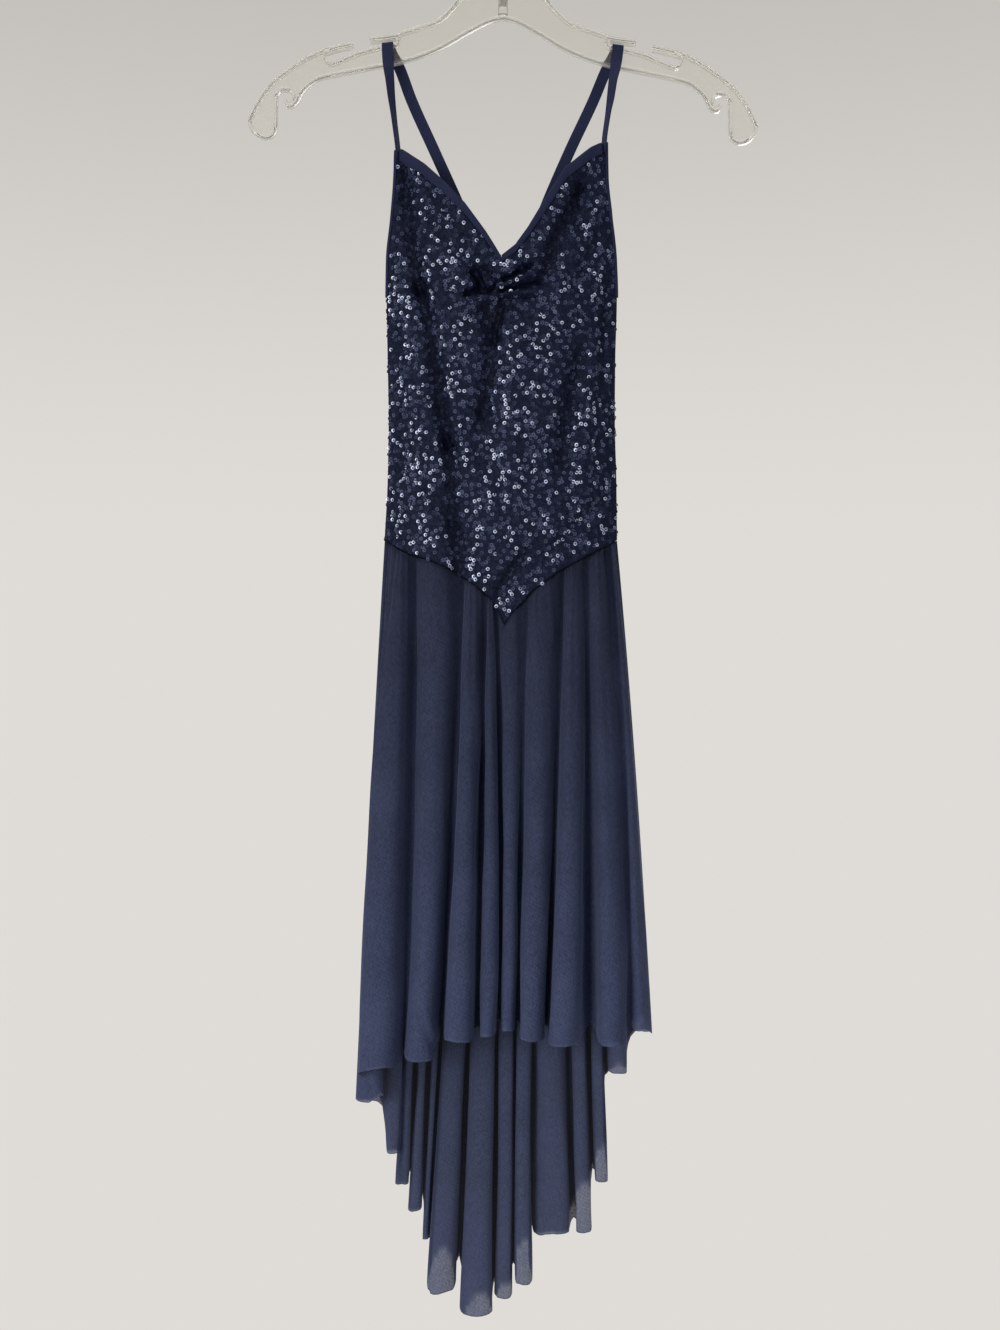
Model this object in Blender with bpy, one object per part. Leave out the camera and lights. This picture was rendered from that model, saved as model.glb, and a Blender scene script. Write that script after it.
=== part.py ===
"""High-low dress on a clear hanger: sequinned bodice, crossed straps, gathered skirt.

World frame in metres: the origin is the inner top of the hanger's hook, the dress hangs
below it and faces -Y, +X is the viewer's right and +Z is up. Tables are in millimetres.
"""
import math

import bmesh
import bpy
import numpy as np

# Driving sizes
MM = 0.001
SEAM_GAP = 0.3
BINDING_GAP = 0.6
BODICE_CLOTH = 1.5
SKIRT_CLOTH = 1.2
STRAP_CLOTH = 1.2
STRAP_WIDTH = 9.4
BINDING_CLOTH = 1.0
UNDERARM_Z = -352.0
CORNER_WIDTH = 3.4
SECTION_POWER = 3.0

# Hanger sizes
WEB_HALF_DEPTH = 1.25
RIM_WIDTH = 2.0
HOOK_INNER_RADIUS = 19.0
HOOK_WIRE_RADIUS = 2.0
HANGER_LEAN = -0.0105

# Bodice sections: height, left edge, right edge, front fullness, back fullness, front edge
# set forward, back edge set back
BODICE_SECTIONS = [
    ("strap corner", -222.0, -89.6, 86.6, 13.0, 9.0, -9.0, 8.0),
    ("upper chest", -251.0, -90.8, 87.2, 17.0, 11.0, -7.0, 7.0),
    ("bust", -284.6, -93.4, 90.8, 21.0, 13.0, -4.5, 5.0),
    ("under bust", -318.3, -97.0, 94.4, 23.5, 14.0, -2.2, 3.0),
    ("underarm", -352.0, -97.6, 95.6, 24.0, 15.0, -0.75, 0.75),
    ("ribs", -402.5, -96.8, 94.3, 22.0, 15.0, -0.75, 0.75),
    ("waist", -453.0, -96.0, 93.9, 20.5, 14.0, -0.75, 0.75),
    ("hip", -503.5, -96.8, 95.2, 21.5, 14.5, -0.75, 0.75),
    ("seam", -555.0, -99.4, 95.8, 23.0, 16.0, -0.75, 0.75),
    ("below seam", -640.0, -103.0, 99.0, 25.0, 18.0, -0.75, 0.75),
]

# Front neck edge, viewer's left to right: place across, height
NECK_EDGE = [
    ("corner left", -90.5, -230.0), ("strap end left", -84.5, -230.0),
    ("slope", -65.6, -244.1), ("slope", -50.7, -258.2), ("slope", -32.4, -278.2),
    ("lower", -15.0, -302.2), ("point", -2.0, -323.0), ("lower", 10.8, -313.0),
    ("slope", 21.6, -298.1), ("slope", 38.2, -270.3), ("slope", 52.3, -247.4),
    ("slope", 73.9, -228.8), ("strap end right", 80.5, -225.0),
    ("corner right", 87.5, -223.0),
]

# Back upper edge and the two waist seams: place across, height
BACK_EDGE = [
    ("side", -97.6, -352.0), ("shoulder blade", -70.0, -384.0), ("dip", -35.0, -413.0),
    ("centre", -2.0, -424.0), ("dip", 32.0, -413.0), ("shoulder blade", 67.0, -384.0),
    ("side", 95.6, -352.0),
]
FRONT_SEAM = [
    ("side", -99.4, -554.5), ("slope", -88.1, -562.3), ("slope", -77.6, -567.5),
    ("slope", -61.4, -572.8), ("slope", -42.5, -580.9), ("slope", -23.4, -593.7),
    ("slope", -9.1, -606.1), ("slope", -3.8, -615.0), ("tip", 1.3, -626.1),
    ("slope", 6.8, -617.5), ("slope", 13.0, -610.9), ("slope", 24.4, -598.5),
    ("slope", 46.4, -582.2), ("slope", 70.1, -568.9), ("slope", 84.4, -561.5),
    ("side", 95.8, -554.5),
]
BACK_SEAM = [
    ("side", -99.4, -554.5), ("slope", -50.0, -567.0), ("centre", -2.0, -573.0),
    ("slope", 46.0, -567.0), ("side", 95.8, -554.5),
]

# How far the bindings reach down from the edges: share of the width, drop
NECK_DROPS = [
    ("corner left", -1.0, 9.5), ("slope", -0.7, 9.8), ("slope", -0.4, 9.0),
    ("slope", -0.2, 7.4), ("point", 0.0, 5.2), ("slope", 0.2, 7.4), ("slope", 0.4, 9.0),
    ("slope", 0.7, 9.8), ("corner right", 1.0, 9.5),
]
BACK_DROPS = [("side", -1.0, 6.0), ("side", 1.0, 6.0)]

# Soft troughs in the front bodice: start across, start height, end across, end height,
# half width, depth
BODICE_TROUGHS = [
    ("left upper", -81.0, -247.0, -71.0, -345.0, 7.0, 3.2),
    ("left long", -71.0, -345.0, -44.0, -475.0, 7.0, 3.4),
    ("left low", -44.0, -475.0, -36.0, -585.0, 6.5, 2.6),
    ("centre", -10.0, -368.0, -17.0, -450.0, 8.0, 2.4),
    ("right waist", 62.0, -420.0, 50.0, -492.0, 8.0, 2.2),
    ("right bust", 56.0, -268.0, 36.0, -335.0, 7.0, 2.6),
    ("right low", 24.0, -555.0, -5.0, -602.0, 5.0, 1.8),
    ("knot upper", 0.0, -331.0, -4.0, -346.0, 6.0, 4.0),
    ("knot right", 2.0, -342.0, 30.0, -330.0, 4.0, 1.8),
    ("knot left", -6.0, -342.0, -34.0, -326.0, 4.0, 1.6),
    ("knot right low", 2.0, -348.0, 26.0, -362.0, 4.0, 1.3),
    ("knot left low", -8.0, -350.0, -28.0, -368.0, 4.0, 1.3),
]
BACK_TROUGHS = [
    ("left", -60.0, -400.0, -44.0, -520.0, 8.0, 2.6),
    ("centre", 4.0, -440.0, -6.0, -540.0, 8.0, 2.2),
    ("right", 58.0, -405.0, 47.0, -530.0, 8.0, 2.6),
]

# Skirt folds, viewer's left to right: place at the seam, place half way down, place,
# height and depth at the hem, heading of the cloth at the hem in degrees
FRONT_FOLDS = [
    ("side seam", -99.4, -112.5, -124.0, -1024.7, 3.0, -90.0),
    ("inner wall", -97.0, -108.0, -112.0, -1025.5, -9.0, 0.0),
    ("turn", -94.8, -101.8, -99.8, -1016.9, -16.0, -90.0),
    ("return", -92.5, -104.6, -108.4, -1005.8, -23.0, -180.0),
    ("left edge", -90.4, -110.6, -118.2, -993.3, -33.0, -90.0),
    ("crest 1", -84.4, -92.9, -98.3, -987.2, -47.0, 0.0),
    ("valley A", -73.3, -74.5, -81.8, -987.4, -24.0, 0.0),
    ("crest 2", -53.9, -56.3, -66.8, -982.2, -44.0, 0.0),
    ("valley B", -33.2, -40.2, -51.4, -976.8, -20.0, 0.0),
    ("crest 3", -23.2, -28.2, -35.7, -965.8, -48.0, 0.0),
    ("valley C", -14.3, -17.4, -21.1, -967.6, -24.0, 0.0),
    ("crest 4", -9.6, -9.1, -12.3, -962.4, -42.0, 0.0),
    ("valley D", -5.0, -1.7, -3.3, -962.7, -20.0, 0.0),
    ("crest 5", 7.4, 6.6, 4.9, -959.3, -38.0, 0.0),
    ("valley E", 19.9, 15.3, 12.4, -963.1, -22.0, 0.0),
    ("crest 6", 34.8, 30.6, 22.7, -965.5, -46.0, 0.0),
    ("valley F", 49.7, 43.9, 35.7, -965.7, -18.0, 0.0),
    ("crest 7", 60.5, 57.9, 46.9, -968.6, -50.0, 0.0),
    ("valley soft", 70.5, 72.0, 72.9, -965.2, -20.0, 0.0),
    ("crest 8", 81.2, 88.6, 88.6, -969.2, -44.0, 0.0),
    ("valley G", 89.5, 101.8, 105.1, -966.4, -22.0, 0.0),
    ("crest 9", 93.2, 107.4, 113.8, -961.3, -26.0, 30.0),
    ("side seam", 95.8, 112.6, 124.8, -968.8, 2.0, 90.0),
]
BACK_FOLDS = [
    ("side seam", -99.4, -112.5, -124.0, -1024.7, 3.0, 90.0),
    ("side wall", -92.0, -102.5, -114.0, -1031.2, 14.0, 0.0),
    ("turn", -85.5, -95.0, -102.4, -1054.5, 18.0, 20.0),
    ("near 1", -80.0, -88.5, -96.1, -1074.6, 14.0, 0.0),
    ("far 1", -73.0, -80.0, -87.4, -1093.5, 38.0, 0.0),
    ("near 2", -66.0, -74.5, -89.1, -1104.4, 24.0, 0.0),
    ("far 2", -59.0, -68.5, -80.7, -1120.8, 42.0, 0.0),
    ("near 3", -52.0, -63.0, -77.3, -1128.9, 28.0, 0.0),
    ("far 3", -45.0, -57.0, -70.5, -1144.9, 46.0, 0.0),
    ("near 4", -38.0, -51.5, -67.4, -1155.1, 36.0, 0.0),
    ("far 4", -32.0, -47.0, -64.6, -1181.3, 50.0, 0.0),
    ("near 5", -24.0, -38.0, -55.5, -1197.1, 20.0, 0.0),
    ("far 5", -15.0, -26.0, -38.2, -1192.0, 46.0, 0.0),
    ("near 6", -6.0, -14.0, -22.1, -1215.0, 16.0, 0.0),
    ("far 6", 2.0, -3.0, -7.6, -1212.1, 44.0, 0.0),
    ("near 7", 8.0, 4.5, 1.2, -1201.3, 20.0, 0.0),
    ("far 7", 14.0, 11.5, 9.0, -1202.5, 42.0, 0.0),
    ("near 8", 20.0, 18.5, 17.0, -1188.6, 18.0, 0.0),
    ("far 8", 27.0, 26.5, 24.4, -1173.9, 42.0, 0.0),
    ("near 9", 37.0, 39.5, 42.9, -1148.9, 24.0, 0.0),
    ("far 9", 47.0, 54.0, 61.9, -1163.3, 44.0, 0.0),
    ("near 10", 54.0, 62.0, 69.6, -1146.2, 26.0, 0.0),
    ("far 10", 61.0, 69.5, 78.0, -1128.7, 42.0, 0.0),
    ("near 11", 68.0, 77.0, 85.8, -1101.5, 18.0, 0.0),
    ("far 11", 75.0, 83.5, 88.2, -1059.3, 34.0, 0.0),
    ("near 12", 82.0, 90.5, 96.6, -1005.8, 8.0, 0.0),
    ("far 12", 89.0, 100.5, 109.8, -978.3, 24.0, 0.0),
    ("side seam", 95.8, 112.6, 124.8, -968.8, 2.0, -90.0),
]
FRONT_ROWS = [0.0, 0.06, 0.18, 0.34, 0.52, 0.7, 0.86, 1.0]
BACK_ROWS = [0.0, 0.06, 0.18, 0.32, 0.46, 0.6, 0.74, 0.88, 1.0]

# Strap paths from the front corner over the hanger to the back edge: place across,
# depth, height, turn of the strap's face in degrees
STRAP_LEFT = [
    ("front corner", -87.7, -10.2, -228.3, 74.0),
    ("rise", -90.8, -11.2, -203.9, 66.0),
    ("rise", -93.2, -10.6, -185.0, 54.0),
    ("rise", -94.5, -9.8, -170.1, 42.0),
    ("below rim", -95.6, -8.2, -161.0, 26.0),
    ("rim", -96.4, -6.3, -152.0, 6.0),
    ("floor front", -96.9, -5.4, -143.0, 0.0),
    ("over", -97.0, -5.4, -138.4, 0.0),
    ("over", -97.0, -5.1, -137.6, 0.0),
    ("over", -97.0, -4.5, -137.3, 0.0),
    ("top", -96.7, 0.0, -137.3, 0.0),
    ("over", -96.2, 4.5, -137.3, 0.0),
    ("over", -96.0, 5.1, -137.6, 0.0),
    ("over", -95.8, 5.4, -138.4, 0.0),
    ("floor back", -93.8, 5.5, -143.0, 0.0),
    ("back run", -88.2, 6.2, -153.0, 0.0),
    ("back run", -77.4, 8.2, -181.0, 0.0),
    ("back run", -58.4, 9.0, -223.0, 0.0),
    ("back run", -39.4, 9.2, -265.0, 0.0),
    ("crossing", 1.7, 9.6, -361.0, 0.0),
    ("back edge", 25.0, 16.0, -413.3, 0.0),
]
STRAP_RIGHT = [
    ("front corner", 84.6, -10.2, -221.2, 74.0),
    ("rise", 87.6, -11.2, -200.0, 66.0),
    ("rise", 89.8, -10.6, -187.2, 54.0),
    ("rise", 92.0, -9.8, -170.1, 42.0),
    ("below rim", 93.6, -8.2, -162.0, 26.0),
    ("rim", 95.0, -6.3, -153.5, 6.0),
    ("floor front", 96.2, -5.4, -144.5, 0.0),
    ("over", 96.6, -5.4, -140.4, 0.0),
    ("over", 96.6, -5.1, -139.6, 0.0),
    ("over", 96.6, -4.5, -139.3, 0.0),
    ("top", 96.3, 0.0, -139.3, 0.0),
    ("over", 95.8, 4.5, -139.3, 0.0),
    ("over", 95.6, 5.1, -139.6, 0.0),
    ("over", 95.4, 5.4, -140.4, 0.0),
    ("floor back", 93.4, 5.5, -145.0, 0.0),
    ("back run", 87.9, 6.2, -155.0, 0.0),
    ("back run", 76.7, 8.2, -181.0, 0.0),
    ("back run", 56.8, 10.0, -223.0, 0.0),
    ("back run", 38.4, 11.0, -265.0, 0.0),
    ("crossing", 1.7, 12.2, -361.0, 0.0),
    ("back edge", -21.5, 16.0, -413.3, 0.0),
]
STRAP_BANK = 8.0

# Half of the hanger, seen from the front: distance from the centre, height
HANGER_NECK = [
    ("collar", 7.0, -60.0), ("neck", 9.0, -68.0), ("neck", 16.0, -78.0),
    ("neck", 27.0, -90.0), ("shoulder", 36.2, -99.4), ("shoulder", 42.1, -106.9),
    ("shoulder", 53.9, -117.9), ("shoulder", 69.0, -123.8), ("lip root", 86.7, -129.6),
]
HANGER_LIP = [("lip root", 86.0, -131.6), ("lip", 99.0, -133.6), ("lip end", 112.0, -135.0)]
HANGER_OUTER_LIP = [
    ("lip end", 125.5, -139.3), ("lip", 137.0, -141.6), ("lip root", 150.5, -145.4),
]
HANGER_ARM = [
    ("lip root", 146.0, -142.6), ("arm", 154.0, -145.2), ("arm", 166.5, -151.6),
    ("arm", 178.5, -159.4),
    ("arm", 187.0, -165.6), ("arm", 194.5, -172.5), ("arm", 202.6, -183.0),
    ("arm", 209.0, -194.5), ("tip", 212.7, -203.5), ("tip", 212.0, -209.5),
    ("tip", 207.6, -215.0), ("tip", 200.4, -217.6), ("tip", 194.4, -215.6),
    ("leg", 191.4, -209.5), ("leg", 191.0, -196.0), ("leg", 190.8, -184.0),
    ("slot top", 189.0, -179.4), ("slot top", 185.6, -177.0), ("slot top", 181.0, -177.2),
    ("slot top", 177.4, -180.2), ("curl", 175.6, -185.0),
]
HANGER_FLOOR = [
    ("inner end", 89.4, -133.0), ("inner end", 88.6, -136.8), ("inner end", 90.2, -139.7),
    ("strap seat", 97.0, -140.2), ("floor", 103.0, -141.2), ("floor", 122.9, -146.7),
    ("floor", 143.1, -155.4), ("outer end", 149.0, -152.2), ("outer end", 150.6, -146.0),
]
HANGER_LOWER = [
    ("centre", 0.0, -114.9), ("lower", 6.7, -116.0), ("lower", 16.0, -119.6),
    ("lower", 32.8, -128.8), ("lower", 51.4, -139.8), ("lower", 74.9, -149.4),
    ("lower", 101.9, -156.0), ("lower", 144.8, -164.6), ("lower", 158.3, -169.0),
    ("lower", 168.7, -178.0), ("curl", 172.8, -186.0), ("curl", 177.0, -190.6),
    ("curl", 181.4, -190.4), ("curl", 182.9, -186.6),
]


# Small numeric helpers

def column(table, *names):
    """Columns of a table whose first entry is the row's name."""
    return [np.array([row[n] for row in table], float) for n in names]


def smooth(values, at, points):
    """Monotone cubic curve through a table."""
    x = np.asarray(points, float)
    y = np.asarray(values, float)
    h = np.diff(x)
    d = np.diff(y) / h
    m = np.zeros_like(y)
    m[0], m[-1] = d[0], d[-1]
    for i in range(1, len(y) - 1):
        if d[i - 1] * d[i] > 0:
            w1 = 2 * h[i] + h[i - 1]
            w2 = h[i] + 2 * h[i - 1]
            m[i] = (w1 + w2) / (w1 / d[i - 1] + w2 / d[i])
    a = np.clip(np.asarray(at, float), x[0], x[-1])
    i = np.clip(np.searchsorted(x, a) - 1, 0, len(h) - 1)
    t = (a - x[i]) / h[i]
    return ((1 + 2 * t) * (1 - t) ** 2 * y[i] + t * (1 - t) ** 2 * h[i] * m[i]
            + t * t * (3 - 2 * t) * y[i + 1] + t * t * (t - 1) * h[i] * m[i + 1])


def section_at(z, side):
    """Left edge, right edge, fullness and edge depth of the bodice at a height."""
    heights, left, right, front, back, edge_f, edge_b = column(
        BODICE_SECTIONS, 1, 2, 3, 4, 5, 6, 7)
    full, edge = (front, edge_f) if side < 0 else (back, edge_b)
    rising = heights[::-1]
    return [smooth(v[::-1], z, rising) for v in (left, right, full, edge)]


def trough_depth(x, z, troughs):
    """Depth of the soft troughs at points given by their place and height."""
    total = np.zeros_like(np.asarray(x, float))
    for _, x0, z0, x1, z1, half, depth in troughs:
        along = np.array([x1 - x0, z1 - z0])
        t = ((x - x0) * along[0] + (z - z0) * along[1]) / (along @ along)
        t = np.clip(t, 0.0, 1.0)
        off = np.hypot(x - x0 - t * along[0], z - z0 - t * along[1])
        total = total + depth * np.exp(-(off / half) ** 2)
    return total


def bodice_point(s, z, side):
    """Middle surface of a bodice panel: s runs from -1 to 1 across, side is -1 in front."""
    left, right, full, edge = section_at(z, side)
    x = (left + right) / 2 + s * (right - left) / 2
    hump = 1 - np.abs(s) ** SECTION_POWER
    troughs = BODICE_TROUGHS if side < 0 else BACK_TROUGHS
    fade = np.clip((1 - np.abs(s)) / 0.12, 0, 1)
    y = edge + side * (full * hump - trough_depth(x, z, troughs) * fade)
    return np.stack([x, y, z + 0 * x], -1)


def bodice_normal(s, z, side):
    """Unit normal of a panel, away from the wearer."""
    e = 0.01
    across = bodice_point(s + e, z, side) - bodice_point(s - e, z, side)
    down = bodice_point(s, z - 1.0, side) - bodice_point(s, z + 1.0, side)
    n = np.cross(across, down)
    n /= np.linalg.norm(n, axis=-1, keepdims=True)
    return n * np.sign(n[..., 1:2]) * side


def edge_height(table, s, side, gap=0.0):
    """Height of an edge given across the panel, at a share s of the width."""
    xs, zs = column(table, 1, 2)
    z = np.full(np.shape(s), zs.mean())
    for _ in range(6):
        left, right, _, _ = section_at(z, side)
        x = (left + right) / 2 + s * (right - left) / 2
        z = np.interp(x, xs, zs)
    return z + gap


# Mesh makers

def material(name, colour, roughness, metallic=0.0, transmission=0.0):
    """One plain Principled material."""
    mat = bpy.data.materials.new(name)
    mat.use_nodes = True
    shader = mat.node_tree.nodes["Principled BSDF"]
    shader.inputs["Base Color"].default_value = (*colour, 1.0)
    shader.inputs["Roughness"].default_value = roughness
    shader.inputs["Metallic"].default_value = metallic
    shader.inputs["Transmission Weight"].default_value = transmission
    return mat


def add_object(name, points, faces, mat):
    """A named object from points in millimetres, faces turned outwards."""
    mesh = bpy.data.meshes.new(name)
    mesh.from_pydata([tuple(float(c) * MM for c in p) for p in points], [], faces)
    mesh.materials.append(mat)
    bm = bmesh.new()
    bm.from_mesh(mesh)
    bmesh.ops.recalc_face_normals(bm, faces=bm.faces)
    if bm.calc_volume(signed=True) < 0:
        bmesh.ops.reverse_faces(bm, faces=bm.faces)
    bm.to_mesh(mesh)
    bm.free()
    for face in mesh.polygons:
        face.use_smooth = True
    mesh.validate()
    obj = bpy.data.objects.new(name, mesh)
    bpy.context.scene.collection.objects.link(obj)
    return obj


def wall(name, outer, inner, mat):
    """A closed wall between two grids of points of the same size."""
    rows, cols = outer.shape[:2]
    points = list(outer.reshape(-1, 3)) + list(inner.reshape(-1, 3))
    base = rows * cols

    def at(r, c, layer):
        return layer * base + r * cols + c

    faces = []
    for r in range(rows - 1):
        for c in range(cols - 1):
            faces.append((at(r, c, 0), at(r, c + 1, 0), at(r + 1, c + 1, 0), at(r + 1, c, 0)))
            faces.append((at(r, c, 1), at(r + 1, c, 1), at(r + 1, c + 1, 1), at(r, c + 1, 1)))
    for c in range(cols - 1):
        faces.append((at(0, c, 0), at(0, c, 1), at(0, c + 1, 1), at(0, c + 1, 0)))
        last = rows - 1
        faces.append((at(last, c, 0), at(last, c + 1, 0), at(last, c + 1, 1), at(last, c, 1)))
    for r in range(rows - 1):
        faces.append((at(r, 0, 0), at(r + 1, 0, 0), at(r + 1, 0, 1), at(r, 0, 1)))
        last = cols - 1
        faces.append((at(r, last, 0), at(r, last, 1), at(r + 1, last, 1), at(r + 1, last, 0)))
    return add_object(name, points, faces, mat)


def tube(name, loops, mat):
    """A closed body through loops of equal point counts, capped at both ends."""
    loops = np.asarray(loops, float)
    count, around = loops.shape[:2]
    points = list(loops.reshape(-1, 3))
    faces = []
    for i in range(count - 1):
        for j in range(around):
            k = (j + 1) % around
            faces.append((i * around + j, i * around + k, (i + 1) * around + k,
                          (i + 1) * around + j))
    faces.append(tuple(range(around)))
    faces.append(tuple(range((count - 1) * around, count * around)))
    return add_object(name, points, faces, mat)


def prism(name, outline, half_depth, mat):
    """A flat plate from an outline seen from the front."""
    front = [(x, -half_depth, z) for x, z in outline]
    back = [(x, half_depth, z) for x, z in outline]
    n = len(outline)
    faces = [tuple(range(n)), tuple(range(n, 2 * n))]
    for i in range(n):
        j = (i + 1) % n
        faces.append((i, j, n + j, n + i))
    return add_object(name, front + back, faces, mat)


# Cloth pieces

def bodice_levels(top, s, side, drops):
    """Heights of the top edge and of the two lines under its binding."""
    z_top = edge_height(top, s, side)
    across, deep = column(drops, 1, 2)
    drop = np.interp(s, across, deep)
    return z_top, z_top - drop / 2, z_top - drop


def bodice_panel(name, side, top, bottom, drops, s, rows, mat):
    """A bodice panel between its top edge and the waist seam."""
    z_top, z_mid, z_low = bodice_levels(top, s, side, drops)
    z_end = edge_height(bottom, s, side, SEAM_GAP)
    f = np.linspace(0.0, 1.0, rows)[:, None]
    z = np.concatenate([[z_top, z_mid], z_low + (z_end - z_low) * f])
    grid_s = np.broadcast_to(s, z.shape)
    mid = bodice_point(grid_s, z, side)
    n = bodice_normal(np.clip(grid_s, -0.985, 0.985), z, side)
    off = n * BODICE_CLOTH / 2
    return wall(name, mid + off, mid - off, mat)


def edge_binding(name, side, edge, drops, s, mat):
    """Binding folded over a panel's upper edge, its legs lying on the panel's points."""
    z_edge, z_mid, z_low = bodice_levels(edge, s, side, drops)
    step = 0.01
    rise = (edge_height(edge, s + step, side) - edge_height(edge, s - step, side)) / (
        bodice_point(s + step, z_edge, side)[:, 0] - bodice_point(s - step, z_edge, side)[:, 0])
    steep = np.sqrt(1 + np.clip(rise, -1.6, 1.6) ** 2)
    near = BODICE_CLOTH / 2 + BINDING_GAP
    far = near + BINDING_CLOTH
    loops = []
    for i in range(len(s)):
        loop = []
        lip = z_edge[i] + SEAM_GAP * steep[i]
        cap = lip + BINDING_CLOTH * steep[i]
        run = [(z_low[i], far), (z_mid[i], far), (z_edge[i], far), (cap, far * 0.75),
               (cap, -far * 0.75), (z_edge[i], -far), (z_mid[i], -far), (z_low[i], -far),
               (z_low[i], -near), (z_mid[i], -near), (z_edge[i], -near), (lip, -near),
               (lip, near), (z_edge[i], near), (z_mid[i], near), (z_low[i], near)]
        for height, off in run:
            share = np.array(s[i])
            n = bodice_normal(np.clip(share, -0.985, 0.985), np.array(min(height, z_edge[i])),
                              side)
            loop.append(bodice_point(share, np.array(height), side) + n * off)
        loops.append(loop)
    return tube(name, loops, mat)


def armhole_binding(name, hand, z_from, z_to, steps, mat):
    """Binding folded over the front panel's free side edge."""
    near = BODICE_CLOTH / 2 + SEAM_GAP
    far = near + BINDING_CLOTH
    loops = []
    for z in np.linspace(z_from, z_to, steps):
        height = np.array(z)
        left, right, _, _ = section_at(height, -1)
        half = float(right - left) / 2
        edge = bodice_point(np.array(float(hand)), height, -1)
        inner = bodice_point(np.array(hand * (1 - CORNER_WIDTH / half)), height, -1)
        n = bodice_normal(np.array(hand * 0.985), height, -1)
        out = edge - inner
        out[2] = 0.0
        out /= np.linalg.norm(out)
        loop = [inner + n * far, edge + n * far, edge + out * (SEAM_GAP + BINDING_CLOTH)
                + n * far * 0.6, edge + out * (SEAM_GAP + BINDING_CLOTH) - n * far * 0.6,
                edge - n * far, inner - n * far, inner - n * near, edge - n * near,
                edge + out * SEAM_GAP - n * near * 0.8, edge + out * SEAM_GAP + n * near * 0.8,
                edge + n * near, inner + n * near]
        loops.append(loop)
    return tube(name, loops, mat)


def skirt_rows(folds, seam, side, shares, steps):
    """Middle points and in-plane normals of a skirt panel, one row for each share."""
    seam_x, half_x, hem_x, hem_z, hem_y, hem_turn = column(folds, 1, 2, 3, 4, 5, 6)
    heights = np.interp(seam_x, *column(seam, 1, 2)) - SEAM_GAP * 2
    start_z, hem_line = None, None
    left, right, _, _ = section_at(heights, side)
    s = (seam_x - (left + right) / 2) / ((right - left) / 2)
    start = bodice_point(np.clip(s, -1, 1), heights, side)[:, 1]
    lead = bodice_point(np.clip(s + 0.01, -1, 1), heights, side)
    trail = bodice_point(np.clip(s - 0.01, -1, 1), heights, side)
    turn0 = np.arctan2(lead[:, 1] - trail[:, 1], lead[:, 0] - trail[:, 0])
    turn1 = np.radians(hem_turn)
    folded = np.abs(hem_turn) < 1.0
    valley = np.zeros(len(folds))
    for i in range(1, len(folds) - 1):
        here = side * hem_y[i]
        if folded[i] and here < side * hem_y[i - 1] and here < side * hem_y[i + 1]:
            valley[i] = 1.0
    all_mid, all_n = [], []
    for v in shares:
        grow = 0.03 + 0.97 * v ** 0.9
        ease = v * v * (3 - 2 * v)
        x = seam_x + (hem_x - seam_x) * v + (half_x - (seam_x + hem_x) / 2) * 4 * v * (1 - v)
        y = start + (hem_y - start) * grow - side * 2.4 * valley * math.exp(-v / 0.16)
        turn = turn0 + (turn1 - turn0) * ease
        ends = SEAM_GAP / 2 + SKIRT_CLOTH / 2 * abs(math.cos(turn[0]))
        y[0] = (1 - ease) * 0.0 + ease * hem_y[0] + side * ends
        ends = SEAM_GAP / 2 + SKIRT_CLOTH / 2 * abs(math.cos(turn[-1]))
        y[-1] = (1 - ease) * 0.0 + ease * hem_y[-1] + side * ends
        mid, nor = [], []
        for i in range(len(folds) - 1):
            gap = math.hypot(x[i + 1] - x[i], y[i + 1] - y[i])
            pull = 1.0 + 0.3 * ease
            t0 = gap * pull * np.array([math.cos(turn[i]), math.sin(turn[i])])
            t1 = gap * pull * np.array([math.cos(turn[i + 1]), math.sin(turn[i + 1])])
            p0 = np.array([x[i], y[i]])
            p1 = np.array([x[i + 1], y[i + 1]])
            last = i == len(folds) - 2
            for k in range(steps + (1 if last else 0)):
                t = k / steps
                p = ((1 + 2 * t) * (1 - t) ** 2 * p0 + t * (1 - t) ** 2 * t0
                     + t * t * (3 - 2 * t) * p1 + t * t * (t - 1) * t1)
                d = ((6 * t * t - 6 * t) * p0 + (3 * t * t - 4 * t + 1) * t0
                     + (6 * t - 6 * t * t) * p1 + (3 * t * t - 2 * t) * t1)
                d /= np.hypot(*d)
                mid.append((p[0], p[1], hem_z[i] + (hem_z[i + 1] - hem_z[i]) * t))
                nor.append((d[1], -d[0], 0.0))
        mid = np.array(mid)
        if start_z is None:
            hem_line = mid[:, 2].copy()
            start_z = np.interp(mid[:, 0], *column(seam, 1, 2)) - SEAM_GAP * 2
        mid[:, 2] = start_z + (hem_line - start_z) * v
        all_mid.append(mid)
        all_n.append(nor)
    return np.array(all_mid), np.array(all_n)


def skirt_panel(name, folds, seam, side, shares, steps, mat):
    """A skirt panel whose small gathers at the seam open into flutes at the hem."""
    mid, n = skirt_rows(folds, seam, side, shares, steps)
    off = n * SKIRT_CLOTH / 2
    return wall(name, mid + off, mid - off, mat)


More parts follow.
